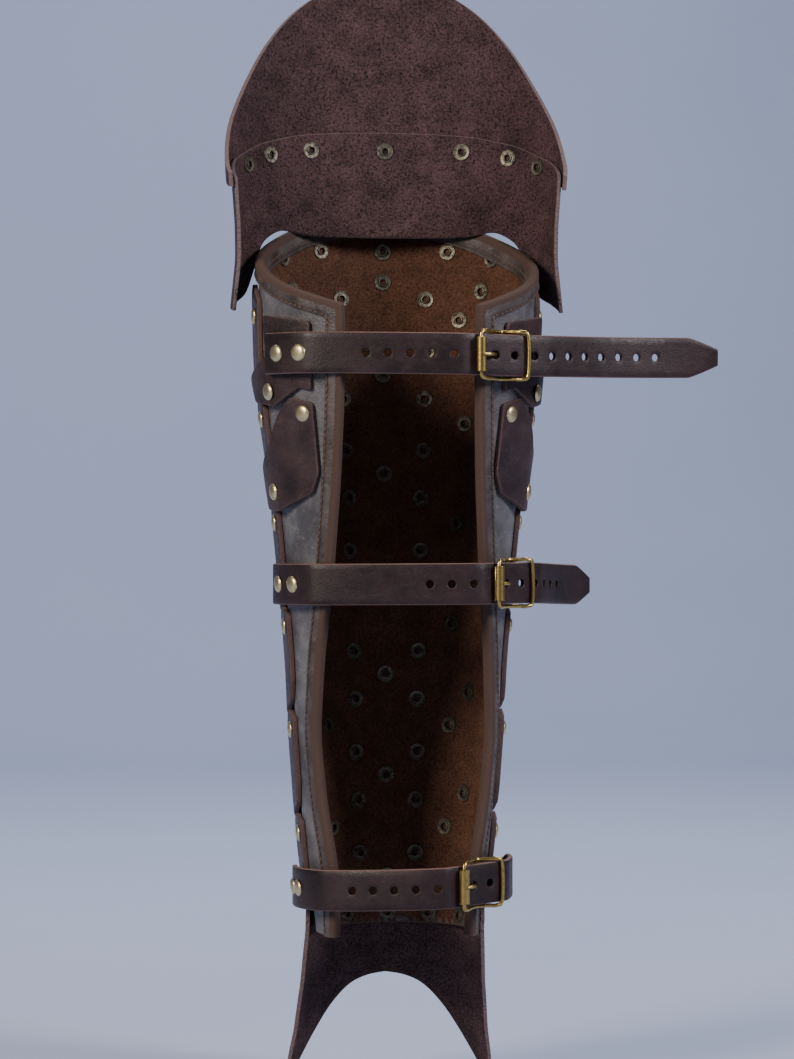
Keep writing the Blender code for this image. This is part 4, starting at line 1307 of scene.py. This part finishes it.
@dataclass
class Plates:
    """The riveted plates: a crest down the shin and boots down both sides."""

    form: LegForm
    pitch: float = 0.061
    height: float = 0.066
    first_top: float = 0.0375
    crest_top: float = 0.080
    crest_half_turn: float = 24.5
    crest_count: int = 7
    hem: float = -0.319
    wall: float = 0.003
    lift_start: float = 0.20
    lift_end: float = 0.55
    corner: float = 0.0013
    metres_per_turn: float = 0.00125
    outline_count: int = 96
    # Radii of the cut edge on the grain side and the flesh side
    edge_over: float = 0.0006
    edge_under: float = 0.0004
    # The border curls down a little towards the shell
    curl: float = 0.0002
    curl_reach: float = 0.006
    # Columns: across from the edge nearer the opening, and down from the top
    crest: Table = (
        (0.00, 0.18), (0.55, 0.00), (1.00, 0.10), (1.00, 0.56), (0.45, 0.95), (0.00, 1.12),
    )
    boot: Table = (
        (0.00, 0.06), (0.26, 0.00), (0.42, 0.14), (0.62, 0.40), (1.00, 0.62), (1.00, 0.76),
        (0.90, 0.98), (0.62, 1.00), (0.10, 0.84), (0.00, 0.66),
    )
    yoke: Table = (
        (0.00, 0.27), (0.56, 0.19), (0.52, 0.56), (1.00, 0.74), (0.86, 0.95), (0.47, 1.00),
        (0.15, 0.84), (0.00, 0.87),
    )
    # Columns: outer turn, inner turn, plates, outer rise and inner rise
    columns: Table = (
        (54.0, 12.0, 6, 0.34, 0.44), (98.0, 45.0, 6, 0.02, 0.12), (136.5, 90.0, 2, 0.0, 0.0),
    )

    def outline(self, corners: Array) -> Array:
        """Clip an outline at the hem, round its corners and space it evenly.

        A corner becomes the quadratic curve between points a corner's reach
        away along its two edges.

        Args:
            corners: (turn, level) corners in order.

        Returns:
            Evenly spaced places, with the turn in metres round the leg.
        """
        flat = np.array(corners) * (self.metres_per_turn, 1.0)
        after = np.roll(flat, -1, axis=0)
        crosses = (flat[:, 1] - self.hem) * (after[:, 1] - self.hem) < 0
        share = (self.hem - flat[:, 1]) / np.where(crosses, after[:, 1] - flat[:, 1], 1.0)
        cuts = flat + (after - flat) * share[:, None]
        kept = np.stack([flat, cuts], axis=1).reshape(-1, 2)
        keep = np.stack([flat[:, 1] >= self.hem, crosses], axis=1).reshape(-1)
        flat = kept[keep]
        before, after = np.roll(flat, 1, axis=0) - flat, np.roll(flat, -1, axis=0) - flat
        reach_before = np.minimum(self.corner / np.linalg.norm(before, axis=1), 0.45)[:, None]
        reach_after = np.minimum(self.corner / np.linalg.norm(after, axis=1), 0.45)[:, None]
        t = np.linspace(0.0, 1.0, 6)[None, :, None]
        start, end = (flat + before * reach_before)[:, None], (flat + after * reach_after)[:, None]
        curve = (1 - t) ** 2 * start + 2 * t * (1 - t) * flat[:, None] + t**2 * end
        ring = np.concatenate([curve.reshape(-1, 2), curve[0, :1]])
        travel = length_along(ring)
        stops = np.linspace(0.0, travel[-1], self.outline_count, endpoint=False)
        return read_line(stops, travel, ring)

    def add_plate(
        self, shape: Shape, corners: Array, centre: tuple[float, float], lift: Array
    ) -> None:
        """Add one plate as rings from its middle, over its edge and back.

        A ring is the outline shrunk towards the centre; the edge is rounded
        by letting the inset and the height follow a quarter circle.

        Args:
            shape: the mesh that gets the plate.
            corners: the outline's (turn, level) corners.
            centre: a (turn, level) place that sees the whole outline.
            lift: two columns, unsigned turn and stand-off, rising turns.
        """
        ring = self.outline(corners)
        middle = np.array(centre) * (self.metres_per_turn, 1.0)
        spokes = ring - middle
        length = np.linalg.norm(spokes, axis=1)
        angle = np.radians([0.0, 30.0, 60.0, 90.0])
        closing, opening = 1 - np.sin(angle), 1 - np.cos(angle)
        over, under = self.edge_over, self.edge_under
        shares = np.array([0.0, 0.2, 0.4, 0.58, 0.74, 0.87, 0.95])
        flat = 0 * shares
        share = np.concatenate([shares, np.ones(8), shares[::-1]])
        inset = np.concatenate([flat, over * closing, under * opening, flat])
        height = np.concatenate(
            [self.wall + flat, self.wall - over * opening, under * closing, flat]
        )
        radial = np.where(
            share[:, None] < 1.0,
            (length[None] - over) * share[:, None],
            length[None] - inset[:, None],
        )
        spots = middle + (spokes / length[:, None])[None] * radial[..., None]
        turn, level = spots[..., 0] / self.metres_per_turn, spots[..., 1]
        stand_off = eased(np.abs(turn), lift[:, 0], lift[:, 1], 1.5)
        rounding = np.clip((np.max(length) - radial) / self.curl_reach, 0.0, 1.0)
        curl = self.curl * (1.0 - rounding)
        height = height[:, None]
        skin = self.form.point(turn, level, stand_off + height - curl * (height > 0.0))
        flesh = np.concatenate([np.zeros(len(shares) + 6), np.ones(2 + len(shares))])[:, None]
        distance = (length[None] - radial) * (share[:, None] < 1.0) + inset[:, None] * 0.8
        shape.add(skin, wrap_columns=True, distance=distance, flesh=flesh)

    def build(self, finishes: Finishes, rivets: Rivets) -> None:
        """Make the crest and both sides, and rivet them down."""
        self.build_crest(finishes, rivets)
        for side in Side:
            for number, column in enumerate(self.columns, start=1):
                self.build_column(number, column, side, finishes)
            self.rivet_side(side, rivets)

    def build_crest(self, finishes: Finishes, rivets: Rivets) -> None:
        """Make the middle column of pointed plates."""
        flat = np.array([(0.0, GAP), (180.0, GAP)])
        for row in range(self.crest_count):
            top = self.crest_top - self.pitch * row
            half = np.array(self.crest) * (self.crest_half_turn, -self.pitch) + (0.0, top)
            left = half[1:-1][::-1] * (-1.0, 1.0)
            corners = np.concatenate([half, left])
            middle = max(top - 0.55 * self.pitch, (top + self.hem) / 2)
            shape = Shape()
            self.add_plate(shape, corners, (0.0, middle), flat)
            name = f"plate_crest_{row + 1}"
            shape.finish(f"crest_sheet_{row + 1}", finishes.plate, "plate_leather", (name,))
        seat = GAP + self.wall
        drops = self.pitch * np.arange(1, self.crest_count)
        # The first plate's middle rivet sits lower, clear of the hanging strip
        rivets.through_shell(0.0, 0.056 - drops, seat)
        rivets.through_shell(0.0, 0.0515, seat)
        for side in Side:
            rivets.through_shell(side.value * 19.5, 0.070 - drops, seat)
            # Three more go through the bare shell under its rim
            bare = np.array([29.0, 52.0, 80.0]) * side.value
            rivets.through_shell(bare, np.array([0.070, 0.064, 0.053]), 0.0)

    def build_column(
        self, number: int, column: tuple[float, ...], side: Side, finishes: Finishes
    ) -> None:
        """Make one column of boots, whose feet lie over the next column.

        Args:
            number: the column, counted from the crest.
            column: its turns, count and rises.
            side: the side of the leg.
            finishes: the materials.
        """
        outer, inner, count, outer_rise, inner_rise = column
        span = outer - inner
        low, high = GAP, GAP + self.wall + 2 * GAP
        turns = (inner, outer - span * self.lift_end, outer - span * self.lift_start, outer)
        lift = joined(turns, (high, high, low, low))
        for row in range(int(count)):
            yoke = number == len(self.columns) and row == 0
            shares = np.array(self.yoke if yoke else self.boot)
            down = shares[:, 1].copy()
            if row == 0 and not yoke:
                down[:3] -= np.array([outer_rise, inner_rise, inner_rise / 2])
            top = self.first_top - self.pitch * row
            levels = top - self.height * down
            corners = joined((outer - span * shares[:, 0]) * side.value, levels)
            heart = (0.40, 0.68) if yoke else (0.36, 0.60)
            middle = max(top - self.height * heart[1], (top + self.hem) / 2 - 0.004)
            centre = ((outer - span * heart[0]) * side.value, middle)
            shape = Shape()
            self.add_plate(shape, corners, centre, lift)
            label = "left" if side is Side.LEFT else "right"
            node = f"plate_{label}_{number}_{row + 1}"
            piece = f"boot_{label}_{number}_{row + 1}"
            shape.finish(piece, finishes.plate, "plate_leather", (node,))

    def rivet_side(self, side: Side, rivets: Rivets) -> None:
        """Rivet one side's feet and tops through the shell."""
        low, high = GAP + self.wall, 3 * GAP + 2 * self.wall
        tops = self.first_top - self.pitch * np.arange(6)
        # Turn and levels of each row of rivets, and what its caps sit on
        for turn, levels, seat in (
            (19.0, tops[:5] - 0.0575, high),
            (35.0, tops[0] - 0.0095, low),
            (40.0, tops[1:] - 0.0120, low),
            (46.5, 0.0450, low),
            (54.0, tops[:5] - 0.0525, high),
            (90.0, tops - 0.0115, low),
            (19.0, 0.041, low),
            (113.0, -0.020, high),
            (106.0, -0.078, high),
            (131.0, -0.033, low),
        ):
            rivets.through_shell(side.value * turn, levels, seat)


@dataclass(frozen=True)
class StrapPlan:
    """A strap's route. Turns are degrees from the shin, on the left side."""

    name: str
    level: float
    slope: float
    start_turn: float
    leave_turn: float
    stand_off: float
    buckle: tuple[float, float]
    buckle_heading: float
    tail_heading: float
    end_heading: float
    tail_length: float
    tail_rise: float
    holes_before: int
    holes_after: int
    rivet_turns: tuple[float, ...]


@dataclass
class Strap:
    """A punched strap with its roller buckle."""

    form: LegForm
    plan: StrapPlan
    width: float = 0.024
    wall: float = 0.003
    tip_width: float = 0.010
    tip_length: float = 0.018
    hole_pitch: float = 0.0126
    hole_radius: float = 0.0023
    edge: float = 0.0009
    wire: float = 0.0012
    bar: float = 0.0010
    tongue: float = 0.0009
    roller: float = 0.0025
    roller_bore: float = 0.0017
    # The roller is drawn a fifth larger than its solid, so that it shows; its
    # side towards the strap stays in place
    roller_growth: float = 1.2
    buckle_length: float = 0.0310
    bar_along: float = 0.0175
    hole_along: float = 0.0105

    def __post_init__(self) -> None:
        """Lay the middle line from the left side, across the back, to the tip.

        It is an ellipse beside the shell, a cubic curve across the back, a
        straight run through the buckle, and a tail whose heading changes
        evenly between four places. The headings are means over 15 places.
        """
        plan = self.plan
        half_width, half_depth, _ = self.form.sizes(np.array(plan.level))
        reach = plan.stand_off + self.wall / 2
        turn = np.radians(np.linspace(plan.start_turn, plan.leave_turn, 24))
        wrapped = joined(-(half_width + reach) * np.sin(turn), (half_depth + reach) * np.cos(turn))
        leaving = unit(wrapped[-1] - wrapped[-2])
        self.middle = np.array(plan.buckle)
        self.ahead = self.heading(np.array(plan.buckle_heading))
        approach = self.middle - self.ahead * 3 * self.roller
        t = np.linspace(0.0, 1.0, 73)[1:, None]
        crossing = (
            (1 - t) ** 3 * wrapped[-1]
            + 3 * (1 - t) ** 2 * t * (wrapped[-1] + leaving * self.width / 2)
            + 3 * (1 - t) * t**2 * (approach - self.ahead * self.width / 2)
            + t**3 * approach
        )
        held = np.linspace(-3 * self.roller, self.buckle_length + 2 * self.wire, 21)[1:, None]
        inside = self.middle + self.ahead * held
        share = (np.arange(64) + 0.5) / 64
        headings = np.interp(
            share,
            (0.0, 0.12, 0.30, 1.0),
            (plan.buckle_heading, plan.tail_heading, plan.tail_heading, plan.end_heading),
        )
        tail = inside[-1] + np.cumsum(self.heading(headings) * plan.tail_length / 64, axis=0)
        line = np.concatenate([wrapped, crossing, inside, tail])
        travel = length_along(line)
        self.roller_travel = travel[len(wrapped) + len(crossing) - 1] + 3 * self.roller
        self.travel = np.linspace(0.0, travel[-1], 500)
        self.line = read_line(self.travel, travel, line)
        padded = np.pad(unit(np.gradient(self.line, axis=0)), ((7, 7), (0, 0)), mode="edge")
        means = [np.convolve(column, np.ones(15) / 15, "valid") for column in padded.T]
        self.headings = unit(joined(*means))

    @staticmethod
    def heading(degrees: Array) -> Array:
        """Return plan directions at headings, turned from +X towards +Y."""
        return joined(np.cos(np.radians(degrees)), np.sin(np.radians(degrees)))

    def surface(self, travel: Array, across: Array, out: Array) -> Array:
        """Place points by travel along, height across and stand-off.

        Args:
            travel: metres along the middle line.
            across: metres up from the middle.
            out: metres out from the middle, away from the leg.

        Returns:
            The points, with three coordinates last.
        """
        travel, across, out = np.broadcast_arrays(travel, across, out)
        place = read_line(travel, self.travel, self.line)
        ahead = read_line(travel, self.travel, self.headings)
        x, y = place[..., 0] + ahead[..., 1] * out, place[..., 1] - ahead[..., 0] * out
        keeper = self.roller_travel + self.buckle_length
        risen = np.clip((travel - keeper) / (self.travel[-1] - keeper), 0.0, 1.0)
        level = self.plan.level + self.plan.slope * place[..., 0] + self.plan.tail_rise * risen
        return joined(x, y, level + across)

    def half(self, travel: Array) -> Array:
        """Return the half width at travels, narrowed to the tip."""
        tip = self.travel[-1] - self.tip_length
        share = np.clip((np.asarray(travel) - tip) / self.tip_length, 0.0, 1.0)
        return self.width / 2 + (self.tip_width - self.width) / 2 * share**1.15

    def section(self, travel: Array) -> tuple[Array, Array]:
        """Return closed sections with rounded edges, and their rim distances."""
        flat = np.linspace(-1.0, 1.0, 9)
        angle = np.radians([60.0, 30.0, 0.0, -30.0, -60.0])
        half = self.half(travel)[:, None]
        inner = half - self.edge
        across = np.concatenate(
            [
                inner * flat,
                inner + self.edge * np.cos(angle),
                inner * flat[::-1],
                -inner - self.edge * np.cos(angle[::-1]),
            ],
            axis=1,
        )
        face = np.full(9, self.wall / 2)
        bend = np.sin(angle) * self.wall / 2
        out = np.concatenate([face, bend, -face, bend[::-1]])
        near = np.abs(half - np.abs(across)) * (np.abs(np.abs(out) - self.wall / 2) < 1e-9)
        return self.surface(travel[:, None], across, out[None, :]), near

    def build_strap(self, finishes: Finishes) -> None:
        """Make the strap: plain lengths and one cell for each punched hole."""
        number = np.arange(-self.plan.holes_before, self.plan.holes_after)
        centres = self.roller_travel + self.hole_along + self.hole_pitch * number
        punched = np.abs(centres - self.roller_travel) >= self.roller
        half_cell = self.hole_pitch / 2
        shape = Shape()
        start, end = centres[0] - half_cell, centres[-1] + half_cell
        ends = []
        for low, high in ((0.0, start), (end, self.travel[-1])):
            travel = np.linspace(low, high, max(int((high - low) / 0.002), 3))
            ends.append(self.add_length(shape, travel))
        shape.add_end(ends[0][:1], distance=0.0)
        shape.add_end(ends[1][-1:], distance=0.0)
        for centre, hole in zip(centres, punched):
            travel = centre + np.linspace(-half_cell, half_cell, 5)
            if hole:
                self.add_hole(shape, centre, half_cell)
                ring, near = self.section(travel)
                for first in (8, 22):
                    columns = np.arange(first, first + 7) % ring.shape[1]
                    shape.add(ring[:, columns], distance=near[:, columns])
            else:
                self.add_length(shape, travel)
        name = f"{self.plan.name}_strap"
        shape.finish(f"{self.plan.name}_punched_strap", finishes.strap, "strap_leather", (name,))

    def add_length(self, shape: Shape, travel: Array) -> Array:
        """Add a plain length of the strap, fibrous on its back face.

        Args:
            shape: the mesh that gets the length.
            travel: where its sections lie.

        Returns:
            The sections' points.
        """
        ring, near = self.section(travel)
        flesh = np.zeros((1, ring.shape[1]))
        flesh[:, 14:23] = 1.0
        shape.add(ring, wrap_columns=True, distance=near, flesh=flesh)
        return ring

    def add_hole(self, shape: Shape, centre: float, half_cell: float) -> None:
        """Add a cell with a hole: front face, bore and back face in one skin.

        Rings shrink from the cell's border to the hole's circle, and follow
        a quarter circle over the hole's rim on both faces.

        Args:
            shape: the mesh that gets the cell.
            centre: the hole's travel.
            half_cell: half the cell's length.
        """
        inner = float(self.half(np.array(centre))) - self.edge
        low = np.linspace(-1.0, 1.0, 5)[:-1]
        tall = np.linspace(-1.0, 1.0, 9)[:-1]
        border = np.concatenate(
            [joined(low, -1.0), joined(1.0, tall), joined(-low, 1.0), joined(-1.0, -tall)]
        )
        angle = np.arctan2(border[:, 1], border[:, 0])
        circle = joined(np.cos(angle), np.sin(angle))
        border = border * (half_cell, inner)
        rim = 0.0006
        blends = np.array([0.0, 0.45, 0.75, 1.0])
        quarter = np.radians([30.0, 60.0, 90.0])
        front = [border * (1 - b) + circle * (self.hole_radius + rim) * b for b in blends]
        front += [circle * (self.hole_radius + rim * (1 - math.sin(a))) for a in quarter]
        heights = [self.wall / 2] * 4 + [self.wall / 2 - rim * (1 - math.cos(a)) for a in quarter]
        rings = np.array(front + front[::-1])
        out = np.array(heights + [-h for h in heights[::-1]])
        skin = self.surface(centre + rings[..., 0], rings[..., 1], out[:, None])
        # The bores keep the strap's dark colour, not the raw colour, as painted shade inside the
        # holes;
        # so their distance starts past the raw edge
        to_hole = np.linalg.norm(rings, axis=-1) - self.hole_radius
        to_side = inner + self.edge - np.abs(rings[..., 1])
        distance = np.minimum(np.maximum(to_hole, 0.0) + 0.0020, to_side)
        flesh = (out < -self.wall / 2 + 1e-9).astype(float)[:, None]
        shape.add(skin, wrap_columns=True, distance=distance, flesh=flesh)

    def local(self, places: Array) -> Array:
        """Place buckle points given along, out and up from the roller."""
        outward = np.array([self.ahead[1], -self.ahead[0]])
        plan = self.middle + places[:, :1] * self.ahead + places[:, 1:2] * outward
        level = self.plan.level + self.plan.slope * plan[:, 0] + places[:, 2]
        return np.concatenate([plan, level[:, None]], axis=1)

    def build_buckle(self, finishes: Finishes) -> None:
        """Make the wire frame, its bar, the roller and the tongue."""
        span = self.width / 2 + GAP + self.wire
        eye = self.bar + self.tongue + GAP
        depth = self.wall / 2 + 2 * GAP + eye + self.tongue
        roller_out = self.wall / 2 + GAP + self.roller
        keeper_out = self.wall / 2 + GAP + self.wire
        bend = self.wire * 2.6
        half = np.array(
            [
                (0.0, roller_out, span - bend),
                (bend, roller_out - bend / 3, span),
                (self.bar_along / 2, (roller_out - depth) / 2, span),
                (self.bar_along, -depth, span),
                ((self.bar_along + self.buckle_length) / 2, (keeper_out - depth) / 2, span),
                (self.buckle_length - bend, keeper_out - bend / 3, span),
                (self.buckle_length, keeper_out, span - bend),
            ]
        )
        loop = np.concatenate([half, half[::-1] * (1.0, 1.0, -1.0)])
        outward = np.array([self.ahead[1], -self.ahead[0], 0.0])
        wire = Shape()
        path = self.local(smooth_path(loop, 6, True))
        wire.add(tube(path, self.wire, 12, True, outward), wrap_rows=True, wrap_columns=True)
        ends = np.linspace(-span, span, 7)
        bar = self.local(joined(self.bar_along, -depth, ends))
        wire.add(tube(bar, self.bar, 12, False, outward), wrap_columns=True)
        node = f"{self.plan.name}_buckle_frame"
        piece = f"{self.plan.name}_buckle_wire"
        wire.finish(piece, finishes.buckle, "antique_brass", (node,), sharp=60.0)
        self.build_roller(roller_out, span, finishes)
        self.build_tongue(eye, depth, finishes)

    def build_tongue(self, eye: float, depth: float, finishes: Finishes) -> None:
        """Bend the tongue round the bar, through its hole and over the roller.

        Args:
            eye: the radius of its bend round the bar.
            depth: how far the bar lies in from the strap's middle.
            finishes: the materials.
        """
        angle = np.radians(np.linspace(-150.0, 90.0, 8))
        hook = joined(self.bar_along + eye * np.cos(angle), -depth + eye * np.sin(angle), 0.0)
        behind, front = -self.wall / 2 - GAP - self.tongue, self.wall / 2 + GAP + self.tongue
        rest = self.wall / 2 + 3 * GAP + 2 * self.roller + self.tongue
        run = np.array(
            [
                (self.hole_along + 2 * self.tongue, behind - GAP, 0.0),
                (self.hole_along + self.tongue / 2, behind + self.tongue, 0.0),
                (self.hole_along - self.tongue / 2, front, 0.0),
                (2 * self.roller, rest - self.roller / 4, 0.0),
                (-self.roller / 4, rest, 0.0),
            ]
        )
        path = self.local(smooth_path(np.concatenate([hook, run]), 5, False))
        stops = np.linspace(0.0, 1.0, len(path))
        swell = self.tongue * np.interp(stops, (0.0, 0.8, 0.95, 1.0), (1.0, 1.0, 1.15, 0.8))
        pin = Shape()
        pin.add(tube(path, swell, 12, False, np.array([0.0, 0.0, 1.0])), wrap_columns=True)
        node = f"{self.plan.name}_tongue"
        piece = f"{self.plan.name}_buckle_tongue"
        pin.finish(piece, finishes.buckle, "antique_brass", (node,), sharp=60.0)

    def build_roller(self, out: float, span: float, finishes: Finishes) -> None:
        """Roll a sheet tube round the front wire, with its seam outwards.

        The radius dips along one line, where the sheet's edges meet.

        Args:
            out: how far its solid's middle lies out from the strap's middle.
            span: half the frame's width.
            finishes: the materials.
        """
        reach = span - 3 * self.wire
        angle = np.linspace(0.0, math.tau, 40, endpoint=False)
        seam = np.radians(200.0)
        dip = 0.00055 * np.exp(-(((angle - seam) / 0.10) ** 2))
        rows = np.array(
            [
                (-1.0, self.roller_bore),
                (-1.0, self.roller - 0.0002),
                (-0.98, self.roller),
                (0.98, self.roller),
                (1.0, self.roller - 0.0002),
                (1.0, self.roller_bore),
            ]
        )
        radius = rows[:, 1:]
        skin = (radius - dip * (radius > self.roller_bore)) * self.roller_growth
        middle = out + (self.roller_growth - 1.0) * self.roller
        places = joined(skin * np.cos(angle), middle + skin * np.sin(angle), rows[:, :1] * reach)
        roller = Shape()
        roller.add(self.local(places.reshape(-1, 3)).reshape(places.shape), True, True)
        node = f"{self.plan.name}_roller"
        piece = f"{self.plan.name}_buckle_roller"
        roller.finish(piece, finishes.buckle, "antique_brass", (node,))

    def build(self, finishes: Finishes, rivets: Rivets) -> None:
        """Make the strap and buckle, rivet the start and dress the tab."""
        self.build_strap(finishes)
        self.build_buckle(finishes)
        turns = -np.array(self.plan.rivet_turns)
        width, depth, _ = self.form.sizes(np.array(self.plan.level))
        angle = np.radians(turns)
        reach = self.plan.stand_off + self.wall
        x, y = (width + reach) * np.sin(angle), (depth + reach) * np.cos(angle)
        level = self.plan.level + self.plan.slope * x
        frames = self.form.frames(turns, level)
        rivets.add_cap(joined(x, y, level), frames)
        rivets.add_washer(self.form.point(turns, level, -self.form.wall), frames)
        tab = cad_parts[f"{self.plan.name}_buckle_tab"]
        for place in tab.material_slots:
            place.material = finishes.strap
        log.info("%s tab dressed", self.plan.name)


# The top strap's free end is drawn 2.5 mm higher than its solid's
STRAPS = (
    StrapPlan(
        name="top", level=0.0008, slope=-0.012, start_turn=116.0, leave_turn=137.0,
        stand_off=0.0072, buckle=(0.0375, -0.0750), buckle_heading=18.0, tail_heading=32.0,
        end_heading=2.0, tail_length=0.130, tail_rise=0.0035, holes_before=6, holes_after=10,
        rivet_turns=(123.5, 135.0),
    ),
    StrapPlan(
        name="middle", level=-0.1315, slope=0.006, start_turn=96.0, leave_turn=130.0,
        stand_off=0.0058, buckle=(0.0488, -0.0595), buckle_heading=40.0, tail_heading=64.0,
        end_heading=52.0, tail_length=0.090, tail_rise=-0.003, holes_before=4, holes_after=6,
        rivet_turns=(105.0, 118.7),
    ),
    StrapPlan(
        name="bottom", level=-0.3075, slope=0.045, start_turn=86.0, leave_turn=124.0,
        stand_off=0.0070, buckle=(0.0290, -0.0580), buckle_heading=34.0, tail_heading=74.0,
        end_heading=108.0, tail_length=0.058, tail_rise=0.0, holes_before=6, holes_after=2,
        rivet_turns=(94.0, 104.0),
    ),
)


@dataclass
class Studio:
    """A pale sweep, soft lamps and the camera behind the leg.

    The lens shows frame_height metres from top to bottom at LENS_REACH metres
    from the camera.
    """

    floor: float
    aim_level: float = -0.100
    azimuth: float = -7.0
    distance: float = 2.076
    frame_height: float = 0.6047
    sensor: float = 36.0

    def build(self) -> None:
        """Set up the sweep, the lamps and the camera."""
        self.build_sweep()
        self.build_lamps()
        self.build_camera()

    def build_sweep(self) -> None:
        """Make a floor that curves up into a wall in front of the leg's shin.

        Its section is flat, then a quarter circle, then straight up.
        """
        radius, reach = 1.5, 2.8
        angle = np.linspace(0.0, math.pi / 2, 25)
        flat = joined(np.linspace(-6.0, reach, 12), 0.0)
        bend = joined(reach + radius * np.sin(angle), radius * (1 - np.cos(angle)))
        wall = np.array([(reach + radius, 5.0)])
        section = np.concatenate([flat, bend[1:], wall])
        across = np.linspace(-6.0, 6.0, 13)
        grid = joined(across, section[:, :1], section[:, 1:] + self.floor)
        mesh = bpy.data.meshes.new("studio_sweep")
        quads = grid_quads(*grid.shape[:2], False, False)
        mesh.from_pydata(grid.reshape(-1, 3), [], quads.tolist())
        mesh.shade_smooth()
        paper, shader = new_material("studio_paper", {"Roughness": 0.9, "Specular IOR Level": 0.1})
        where = add_node(paper, "ShaderNodeTexCoord").outputs["Object"]
        mottle = add_node(
            paper, "ShaderNodeTexNoise", {"Vector": where, "Scale": 3.0}
        ).outputs["Fac"]
        tone = add_node(
            paper,
            "ShaderNodeMix",
            {0: mottle, 6: linear("#969fb6"), 7: linear("#9ca5bb")},
            data_type="RGBA",
        ).outputs[2]
        set_inputs(paper, shader, {"Base Color": tone})
        mesh.materials.append(paper)
        sweep = placed("studio_sweep", mesh)

    def build_lamps(self) -> None:
        """Hang a key at the camera's upper left, a fill at its right, and lamps above."""
        world = bpy.data.worlds.new("studio_air")
        world.use_nodes = True
        air = world.node_tree.nodes["Background"]
        air.inputs["Color"].default_value = linear("#b9c0cc")
        air.inputs["Strength"].default_value = 0.24
        bpy.context.scene.world = world
        leg, wall = (0.0, 0.0, self.aim_level), (0.0, 4.3, 0.1)
        for name, place, target, size, power, colour in (
            ("key_lamp", (-1.65, -1.35, 0.85), leg, 0.7, 62.0, "#fff4e6"),
            ("fill_lamp", (1.75, -1.35, 1.0), leg, 0.6, 58.0, "#fbf6fa"),
            ("top_lamp", (0.3, 0.9, 1.6), leg, 1.0, 22.0, "#ffffff"),
            ("wall_lamp", (0.0, 1.6, 2.6), wall, 2.4, 112.0, "#eef2ff"),
        ):
            data = bpy.data.lights.new(name, "AREA")
            data.size = size
            data.energy = power
            data.color = linear(colour)[:3]
            lamp = placed(name, data)
            lamp.location = place
            away = lamp.location - Vector(target)
            lamp.rotation_euler = away.to_track_quat("Z", "Y").to_euler()

    def build_camera(self) -> None:
        """Stand the camera level behind the leg, at the photograph's angle."""
        turn = math.radians(self.azimuth)
        data = bpy.data.cameras.new("camera")
        data.sensor_fit = "VERTICAL"
        data.sensor_height = self.sensor
        data.lens = self.sensor * LENS_REACH / self.frame_height
        camera = placed("camera", data)
        across, back = math.sin(turn), -math.cos(turn)
        camera.location = (self.distance * across, self.distance * back, self.aim_level)
        camera.rotation_euler = (math.pi / 2, 0.0, turn)
        bpy.context.scene.camera = camera


def main() -> None:
    """Build the greave's pieces in order, then the studio round them."""
    logging.basicConfig(level=logging.INFO, format="%(message)s")
    finishes = Finishes.made()
    form = LegForm()
    rivets = Rivets(form)
    Shell(form).build(finishes)
    KneeGuard(form).build(finishes, rivets)
    FootGuard(form).build(finishes, rivets)
    Plates(form).build(finishes, rivets)
    for plan in STRAPS:
        Strap(form, plan).build(finishes, rivets)
    rivets.finish(finishes)
    Studio(floor=float(cad_box[0][2]) - 0.0005).build()


if __name__ == "__main__":
    main()
